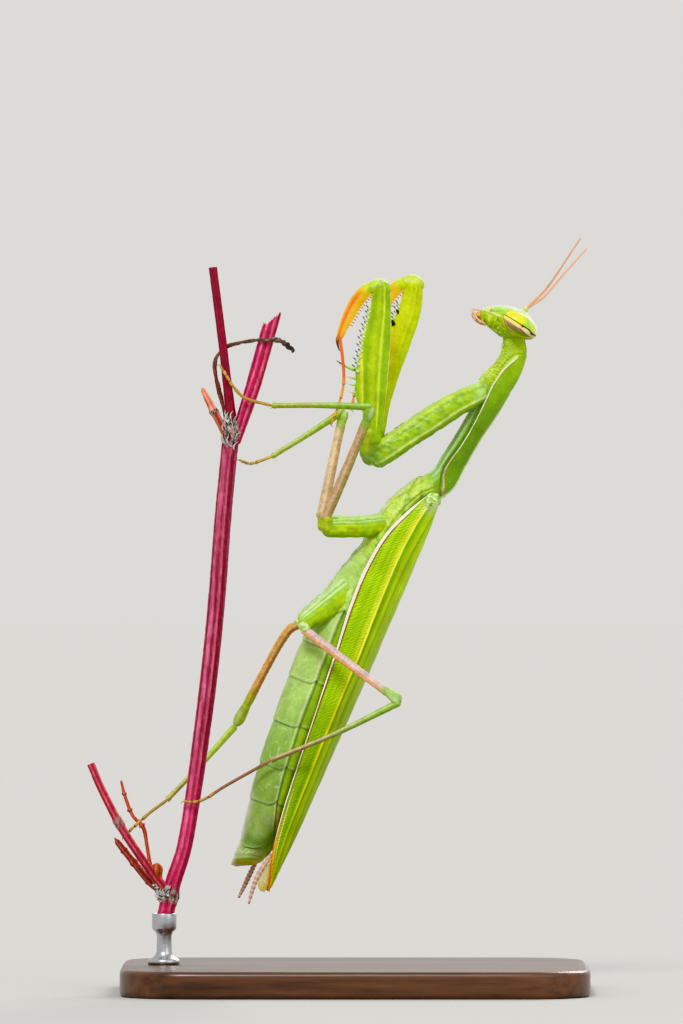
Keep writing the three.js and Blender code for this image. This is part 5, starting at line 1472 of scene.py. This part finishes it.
def walking_femur(places, wide, above, below, green, root):
    """A thin straight femur: freckled, ridged along its length, and green where it swells into the knee."""
    points, t, angle = tube(places, wide, [0.94 * size for size in wide], rows=220, around=40,
                            caps=(0.03, 0.045))
    e = np.cos(angle)
    relief = (0.025 * np.cos(5 * angle) + 0.02 * mottle(points, 0.5, 95) + 0.06 * ridge(t, 0.95, 0.03)
              + 0.05 * ridge(t, 0.03, 0.02))
    relief -= 0.05 * ridge(t, 0.885, 0.02)
    tint = paint(plain(points, above), [
        (below, step(-e * np.sign(places[-1][0] - places[0][0] + 1e-9), -0.2, 0.5)),
        ((236, 226, 206), ridge(e, 0.1, 0.2) * 0.3 * fade(t, 0.7, 0.85)),
        ((110, 66, 44), blotches(points * [1, 1, 0.6], 0.22, 96, 0.3, 0.8) * 0.4 * fade(t, 0.78, 0.9)),
        (green, step(t, 0.76, 0.9) * 0.95),
        ((216, 232, 190), ridge(e, -0.3, 0.35) * step(t, 0.86, 0.95) * 0.5),
        (root, fade(t, 0, 0.05) * 0.8)])
    return [(push(points, relief), tint)]


def walking_tibia(places, wide, green, end):
    """A thin tibia from the knee's green to its own colour at the foot, with two spurs at its end."""
    points, t, angle = tube(places, wide, [0.94 * size for size in wide], rows=200, around=28,
                            caps=(0.025, 0.02))
    relief = 0.02 * np.cos(4 * angle) + 0.05 * ridge(t, 0.975, 0.015) + 0.008 * mottle(points, 0.4, 97)
    tint = paint(plain(points, green), [
        (end, step(t, 0.1, 0.85)),
        ((216, 230, 170), ridge(np.cos(angle), -0.55, 0.25) * 0.45),
        ((110, 76, 50), blotches(points, 0.3, 98, 0.5, 0.8) * 0.3 * step(t, 0.4, 0.9))])
    patches = [(push(points, relief), tint)]
    heading = unit(np.asarray(places[-1]) - places[-2])
    below = unit(np.cross(heading, ACROSS))
    downward = -below if below[2] > -1e-9 else below
    root = spline(places, 0.975)
    for sign in (-1, 1):
        tip = root + 0.5 * heading + 0.32 * downward + 0.22 * sign * ACROSS
        patches.append(spikes(root, tip, 0.09, end, (96, 60, 40), rows=5, around=7))
    return patches


print("girths of the femur and tibia:", GIRTHS["middle"])

# %% Walking legs
leg_horn = cuticle("leg_horn", mottling=0.2, size=0.7, pits=0.12, depth=0.014, rough=(0.48, 0.64),
                   flecks=0.12, **WAXY)
for (pair, name), (above, below, green, end, sole) in LEG_COLOURS.items():
    side = -1 if name == "left" else 1
    pieces = (MIDDLE if pair == "middle" else HIND)[name]
    bends = {part: on_side(places, side) for part, places in pieces.items()}
    femur_girth, tibia_girth = GIRTHS[pair]
    femur_root = (170, 184, 60) if pair == "middle" else (206, 222, 190)
    patches = walking_coxa(bends["coxa"], COXA_SIZES[pair], pair) + root_joint(bends, pair)
    patches += walking_femur(bends["femur"], femur_girth, above, below, green, femur_root)
    patches += walking_tibia(bends["tibia"], tibia_girth, green, end)
    patches += foot(bends["tarsus"], 0.18, WALKING_JOINTS, sole, (186, 148, 72), thorn=0.24)
    nodes = [f"{pair}_{part}_{name}" for part in ("coxa", "femur", "tibia", "tarsus")]
    build(f"{pair}_leg_{name}", patches, nodes, leg_horn)

# %% Cerci
CERCI = {"left": [[-9.2, -1.6, 15.4], [-10.1, -2.3, 14.1], [-10.9, -2.8, 12.7], [-11.4, -3.0, 11.3],
                  [-11.8, -3.1, 9.8]],
         "right": [[-10.9, 1.2, 14.6], [-11.6, 1.6, 13.2], [-12.3, 2.0, 11.7], [-13.0, 2.3, 10.3]]}
for name, places in CERCI.items():
    points, colour = beaded(np.array(places), [0.22, 0.29, 0.3, 0.24, 0.15], 11, 0.62, (190, 148, 130),
                            (222, 198, 180), rows=190, around=24, caps=(0.03, 0.05))
    build(f"cercus_{name}_beads", [(points, colour)], [f"cercus_{name}"], horn)

# %% [markdown]
# ## The perch
# The stem is woody and fluted, with ridges that run from joint to joint. At the joints the old leaf bases
# leave a collar of grey fibres. A real dried stem would be the easy way to make it. Here it is a tube with a
# wavy section whose ridges wander a little, tinted crimson, with painted pink highlights on the ridges and
# painted shade in the grooves.

# %% Bark finish and stalks
bark = cuticle("bark_skin", mottling=0.22, size=0.9, pits=0.18, depth=0.02, rough=(0.42, 0.62))


def stalk(places, radii, flutes, deep, colour, light, dark, seed, rows=260, around=72,
          caps=(0.01, 0.01), knots=()):
    """A fluted stalk: the radius varies as the cosine of flutes times the angle, which drifts along it.

    Each knot is (place along it, length, swelling, cover): a swollen joint covered with grey fibres.
    """
    colour, light, dark = (light_of(part) for part in (colour, light, dark))
    points, t, angle = tube(places, radii, rows=rows, around=around, caps=caps)
    drift = 0.5 * np.sin(5 * t + seed) + 0.3 * np.sin(11 * t + 2 * seed)
    wave = np.cos(flutes * angle + drift)
    fine = np.cos((2 * flutes + 3) * angle + 3 * drift + seed)
    relief = deep * (wave + 0.35 * fine) + 0.3 * deep * mottle(points, 0.8, seed)
    streaks = blotches(points * [1, 1, 0.05], 0.55, seed + 1, -0.3, 0.5)
    dashes = blotches(points * [1, 1, 0.25], 0.3, seed + 5, 0.1, 0.6)
    # Paler coats on the flute crests are painted highlights and the dark coat in the grooves is painted
    # shade; the pale dashes are the stalk's own marks.
    tint = paint(plain(points, colour), [
        ((colour + light) / 2, step(wave, -0.3, 0.7) * 0.5),
        (light, step(wave + 0.4 * fine, 0.3, 1.0) * (0.3 + 0.6 * streaks) * (0.6 + 0.4 * dashes)),
        (light, dashes * 0.22),
        (dark, step(-wave - 0.3 * fine, 0.45, 1.1) * 0.75)])
    for place, length, swelling, cover in knots:
        here = ridge(t, place, length)
        fluff = mottle(points * [1, 1, 0.3], 0.35, seed + 3)
        swollen = swelling + 0.12 * cover * fluff + 0.05 * cover * mottle(points, 0.25, seed + 4)
        relief = relief + here * swollen
        mask = step(here + 0.35 * fluff, 0.35, 0.75) * cover
        tint = paint(tint, [((156, 142, 134), mask), ((64, 46, 44), mask * step(-fluff, 0, 0.4) * 0.85)])
    return push(points, relief), tint, t, angle


def fibres(centre, spread, count, reach, seed, upright=0.4, girth=0.11):
    """Dry fibres: short thin spikes from seeded places in an egg-shaped space, in three greys."""
    dice = np.random.default_rng(seed)
    patches = []
    for colour in (rgb(214, 212, 206), rgb(176, 170, 164), rgb(84, 68, 62)):
        out = unit(dice.normal(size=(count, 3)))
        roots = np.asarray(centre) + out * spread * dice.uniform(0.75, 1.0, (count, 1))
        aims = unit(0.5 * out + 0.6 * unit(dice.normal(size=(count, 3))) + [0, 0, upright])
        tips = roots + aims * dice.uniform(0.4, 1.0, (count, 1)) * reach
        radius = girth if colour[0] > 0.2 else 0.6 * girth  # the darkest fibres are the thinnest
        patches.append(spikes(roots - 0.1 * aims, tips, radius, colour, 0.8 * colour, bend=0.2,
                              rows=5, around=5))
    return patches


print("finish:", bark.name)

# %% Main stem
STEM = [[-21.2, 0, 7.8], [-20.25, 0, 11.9], [-19.0, 0, 15.8], [-18.2, 0, 20.2], [-17.3, 0, 26.5],
        [-16.2, 0, 35.0], [-15.3, 0, 44.0], [-14.7, 0, 52.0], [-14.0, 0, 59.5], [-13.6, 0, 63.0]]
points, tint, t, angle = stalk(STEM, [0.9, 0.86, 0.82, 0.82, 0.88, 0.92, 0.92, 0.9, 0.88, 0.95], 7, 0.055,
                               (140, 18, 52), (222, 120, 144), (92, 12, 38), 7, rows=620, around=96,
                               caps=(0.004, 0.012),
                               knots=((0.075, 0.018, 0.16, 0.9), (0.972, 0.02, 0.1, 0.8)))
# A pale pink line down the front, left of centre, is a painted highlight, and a dark band down the right edge
# is painted shade.
painted_side_highlight = ridge(angle, 5.15, 0.2) * (0.55 + 0.45 * mottle(points * [1, 1, 0.1], 0.4, 107))
tint = paint(tint, [
    ((216, 50, 100), fade(t, 0.3, 0.5) * 0.45 * (1 - ridge(t, 0.075, 0.03))),
    ((232, 120, 160), painted_side_highlight * band(t, 0.12, 0.2, 0.9, 0.96) * 0.85),
    ((96, 10, 40), ridge(angle, 3.6, 0.35) * band(t, 0.1, 0.14, 0.93, 0.97) * 0.6)])
flap_t = np.array([0.05, 0.06, 0.075, 0.09, 0.96, 0.975, 0.985, 0.99])
flap_turn = np.array([0.5, 3.6, 2.0, 5.2, 4.2, 1.2, 5.4, 3.0])
roots = spline(STEM, flap_t) + 0.85 * np.stack([np.cos(flap_turn), np.sin(flap_turn), 0 * flap_turn], -1)
tips = roots + np.stack([0.45 * np.cos(flap_turn), 0.45 * np.sin(flap_turn), 0.5 + 0 * flap_turn], -1)
scales = spikes(roots, tips, 0.24, (176, 168, 158), (120, 104, 92), bend=0.15, rows=8, around=8)
tufts = fibres([-13.75, -0.4, 61.9], [0.8, 0.7, 2.2], 70, 1.1, 131, 1.6, 0.13)
tufts += fibres([-20.95, -0.15, 11.0], [1.1, 0.9, 1.0], 100, 0.5, 132, 0.8, 0.19)
tufts += fibres([-21.9, -0.3, 12.1], [0.5, 0.5, 0.7], 24, 0.4, 134, 0.8, 0.16)
build("stem_main_bark", [(points, tint), scales, *tufts], ["stem_main"], bark)

# %% Shoot, stub and bud
SHOOT = [[-13.6, -0.1, 62.2], [-13.7, -0.1, 63.2], [-14.3, -0.1, 68.5], [-14.9, -0.1, 73.5],
         [-15.8, -0.1, 80.5]]
points, tint, t, _ = stalk(SHOOT, [0.62, 0.58, 0.46, 0.44, 0.43], 6, 0.03, (132, 14, 40), (156, 34, 56),
                           (110, 10, 34), 17, around=56, caps=(0.01, 0))
grey = blotches(points * [1, 1, 0.3], 0.5, 171, 0.1, 0.5) * fade(t, 0.1, 0.3)
tint = coat(tint, (196, 186, 176), grey * 0.7)
cut = points[-1:] + (points[-1].mean(axis=0) - points[-1:]) * 0.2
points = np.concatenate([points, cut])
tint = np.concatenate([tint, plain(cut, (206, 170, 130))])
build("stem_shoot_bark", [(points, tint)], ["stem_shoot"], bark)

STUB = [[-13.45, 0.05, 60.9], [-11.6, -0.2, 66.4], [-10.3, -0.2, 70.9], [-9.15, -0.2, 75.0]]
points, tint, t, angle = stalk(STUB, [0.6, 0.76, 0.8, 0.78], 6, 0.05, (182, 26, 76), (232, 124, 156),
                               (120, 22, 62), 23, rows=200, around=96, caps=(0.02, 0))
heading = unit(np.array(STUB[-1]) - STUB[-2])
torn = (-1.1 * step(np.cos(angle), -0.3, 0.5) + 0.55 * step(-np.cos(angle), 0.3, 1.0)
        + 0.14 * np.sin(9 * angle + 1) + 0.09 * np.sin(23 * angle))
points = points + (step(t, 0.8, 1.0) * torn)[..., None] * heading
lip, core = points[-1], points[-1].mean(axis=0)
inner = lip + (core - lip) * 0.22 - 0.12 * heading
deep = lip + (core - lip) * 0.6 - 0.35 * heading
points = np.concatenate([points, inner[None], deep[None]])
wood = plain(inner, (240, 176, 140))
tint = np.concatenate([tint, wood[None], coat(wood, (196, 110, 84), np.full(len(wood), 0.6))[None]])
build("stem_stub_bark", [(points, tint)], ["stem_stub"], bark)

BUD = [[-14.4, -0.2, 62.0], [-15.2, -0.25, 63.6], [-15.9, -0.3, 64.9], [-16.5, -0.3, 66.1],
       [-17.0, -0.3, 67.1]]
points, tint, t, angle = stalk(BUD, [0.42, 0.42, 0.4, 0.34, 0.2], 5, 0.03, (226, 128, 96), (250, 190, 160),
                               (150, 60, 40), 29, rows=140, around=40, caps=(0.02, 0.1),
                               knots=((0.42, 0.05, 0.1, 1.0),))
tint = coat(tint, (140, 46, 30), fade(t, 0.4, 0.46) * (0.6 + 0.4 * np.sin(3 * angle)))
build("stem_bud_bark", [(points, tint), *fibres([-15.55, -0.27, 64.2], [0.38, 0.38, 0.25], 12, 0.5, 133)],
      ["stem_bud"], bark)

# %% Side branch and twig
BRANCH = [[-20.9, -0.2, 11.2], [-22.3, -0.8, 12.9], [-24.1, -1.9, 15.5], [-26.0, -2.5, 18.5],
          [-28.1, -2.6, 22.6], [-29.3, -2.6, 25.4]]
points, tint, *_ = stalk(BRANCH, [0.6, 0.5, 0.45, 0.45, 0.42, 0.42], 5, 0.03, (170, 34, 60), (226, 120, 120),
                         (100, 20, 36), 37, around=48, caps=(0.01, 0), knots=((0.62, 0.03, 0.1, 0.5),))
build("stem_branch_bark", [(points, tint)], ["stem_branch"], bark)
TWIG = [[-20.9, 0.3, 10.8], [-22.8, 0.9, 12.2], [-25.0, 1.6, 14.8], [-26.6, 2.0, 16.8]]
points, tint, *_ = stalk(TWIG, [0.5, 0.42, 0.38, 0.32], 5, 0.03, (150, 50, 46), (210, 120, 96), (90, 30, 30),
                         41, around=36, rows=180, caps=(0.01, 0.05),
                         knots=((0.35, 0.02, 0.1, 0), (0.6, 0.02, 0.1, 0), (0.8, 0.02, 0.09, 0)))
roots = spline(TWIG, np.array([0.36, 0.6, 0.61, 0.8, 0.98]))
tips = roots + [[-0.1, -0.3, 0.35], [-0.35, 0.1, 0.35], [0.25, -0.25, 0.3], [-0.2, 0.25, 0.35],
                [-0.3, 0, 0.4]]
buds = spikes(roots, tips, 0.2, (176, 60, 50), (226, 150, 110), rows=7, around=9)
SPRIG = [[-21.4, 0.2, 11.6], [-22.6, 0.1, 13.7], [-23.1, 0, 16.2], [-23.5, 0, 18.2], [-24.7, 0, 19.6],
         [-25.5, 0, 21.6], [-26.0, 0, 23.5]]
sprig = stalk(SPRIG, [0.3, 0.22, 0.19, 0.22, 0.18, 0.18, 0.12], 5, 0.02, (176, 62, 40), (226, 130, 90),
              (110, 34, 26), 43, around=28, rows=180, caps=(0.01, 0.03),
              knots=((0.53, 0.012, 0.2, 0), (0.58, 0.01, 0.1, 0), (0.72, 0.012, 0.14, 0.3),
                     (0.87, 0.012, 0.13, 0.3)))[:2]
knob = stalk([[-21.4, -0.5, 11.5], [-21.75, -0.7, 12.7], [-21.95, -0.8, 13.45], [-22.0, -0.8, 14.3]],
             [0.42, 0.36, 0.66, 0.5], 5, 0.03, (166, 70, 36), (214, 124, 80), (96, 34, 24), 47, around=36,
             rows=80, caps=(0.02, 0.16))[:2]
build("stem_twig_bark", [(points, tint), buds, sprig, knob], ["stem_twig"], bark)

# %% Dry tendril
TENDRIL = np.array([[-14.2, 0.6, 63.4], [-15.4, 0.7, 68.0], [-15.5, 0.8, 70.2], [-14.4, 0.95, 71.6],
                    [-12.3, -0.1, 72.2], [-10.2, -1.4, 72.4], [-8.3, -1.3, 72.3], [-6.7, -1.1, 71.1]])
points, t, angle = tube(TENDRIL, [0.26, 0.24, 0.2, 0.2, 0.2, 0.2, 0.3, 0.2],
                        [0.24, 0.22, 0.18, 0.18, 0.18, 0.18, 0.16, 0.08], rows=320, around=32,
                        caps=(0.01, 0.02))
twist = np.abs(np.cos(angle - 22 * t - 1.2 * np.sin(9 * t)))
crumple = mottle(points, 0.5, 51) * (0.03 + 0.07 * step(t, 0.8, 0.95))
points = push(points, 0.11 * twist - 0.08 + crumple)
tint = paint(plain(points, (112, 84, 68)), [
    ((52, 44, 42), step(-twist, -0.5, -0.1) * 0.8),
    ((126, 30, 30), fade(t, 0.1, 0.45) * 0.5),
    ((150, 136, 126), blotches(points, 0.6, 52, 0.2, 0.7) * step(t, 0.5, 0.7) * 0.6),
    ((46, 44, 48), step(t, 0.8, 0.93) * 0.8)])
build("stem_tendril_twist", [(points, tint)], ["stem_tendril"], bark)

# %% [markdown]
# ## The stand
# The stem is cut, so a flat varnished board and a short steel rod hold it up. The board's edge is eased all
# round, so that it catches the light, and the rod is turned with a small foot. Both are profiles carried
# round an outline.

# %% Wood and steel


def squeezed(tree, factors):
    """The object's own coordinates, each one squeezed by its own factor."""
    place = tree.nodes["place"].outputs["Object"]
    return node(tree, "Mapping", Vector=place, Scale=factors).outputs["Vector"]


def wood_finish():
    """Long grain: noise on coordinates that are squeezed along the board, and darker pores in it."""
    material, tree = start_finish("dark_wood")
    lengthways = squeezed(tree, (0.07, 1.0, 1.0))
    grain = noise(tree, 0.9, 6, 0.65, lengthways)
    broad = noise(tree, 5.0, 3, 0.5, lengthways)
    shade = scaled(tree, plus(tree, times(tree, grain, 0.6), times(tree, broad, 0.4)), 0.36, 0.64, 0, 1.0)
    colour = blend_colours(tree, shade, rgb(44, 27, 19), rgb(104, 66, 42))
    roughness = scaled(tree, grain, 0.3, 0.7, 0.3, 0.48)
    end_finish(tree, colour, roughness, grain, 0.35, 0.03, Coat_Weight=0.35, Coat_Roughness=0.2)
    return material


def steel_finish():
    """Brushed steel: fine rings of noise along its height in the bump and the roughness."""
    material, tree = start_finish("turned_steel")
    rings = noise(tree, 0.09, 2, 0.5, squeezed(tree, (0.1, 0.1, 1.0)))
    colour = blend_colours(tree, rings, rgb(168, 170, 174), rgb(206, 208, 210))
    end_finish(tree, colour, scaled(tree, rings, 0.3, 0.7, 0.22, 0.4), rings, 0.3, 0.01, Metallic=1.0)
    return material


print("stand finishes ready")

# %% Base
BOARD_LENGTH, BOARD_WIDTH, BOARD_CORNER = 52, 40, 8
turn = circle(192)


def rounded_board(inset, height):
    """A rectangle with round corners: a circle whose quarters are moved out to the four corners."""
    corner = BOARD_CORNER - inset
    x = (BOARD_LENGTH / 2 - BOARD_CORNER) * np.tanh(9 * np.cos(turn)) + corner * np.cos(turn)
    y = (BOARD_WIDTH / 2 - BOARD_CORNER) * np.tanh(9 * np.sin(turn)) + corner * np.sin(turn)
    return np.stack([x, y, np.full_like(x, height)], -1)


bevel = np.linspace(0, math.pi / 2, 7)
profile = [(6, 0), (1.0, 0)] + [(0.5 - 0.5 * math.sin(a), 0.5 - 0.5 * math.cos(a)) for a in bevel]
profile += [(0, 1.0), (0, 2.0)] + [(0.6 - 0.6 * math.cos(a), 2.4 + 0.6 * math.sin(a)) for a in bevel]
profile += [(1.2, 3), (3, 3), (6, 3)]
board = np.stack([rounded_board(inset, height) for inset, height in profile])
build("stand_base_board", [(board, plain(board, (80, 52, 36)))], ["stand_base"], wood_finish())

# %% Rod
foot_x = STEM[0][0]
profile = [(1.8, 3.0), (1.8, 3.45), (1.7, 3.6), (1.3, 3.8), (1.0, 4.1), (0.85, 4.5), (0.82, 6.2),
           (0.95, 6.6), (1.28, 6.9), (1.36, 7.1), (1.36, 8.6), (1.32, 8.7), (1.16, 8.72), (1.1, 8.6),
           (1.08, 7.7)]
radius, height = np.array(profile).T[..., None]
turn = circle(64)
rod = np.stack([foot_x + radius * np.cos(turn), radius * np.sin(turn), height + 0 * turn], -1)
build("stand_rod_turned", [(rod, plain(rod, (190, 190, 194)))], ["stand_rod"], steel_finish())
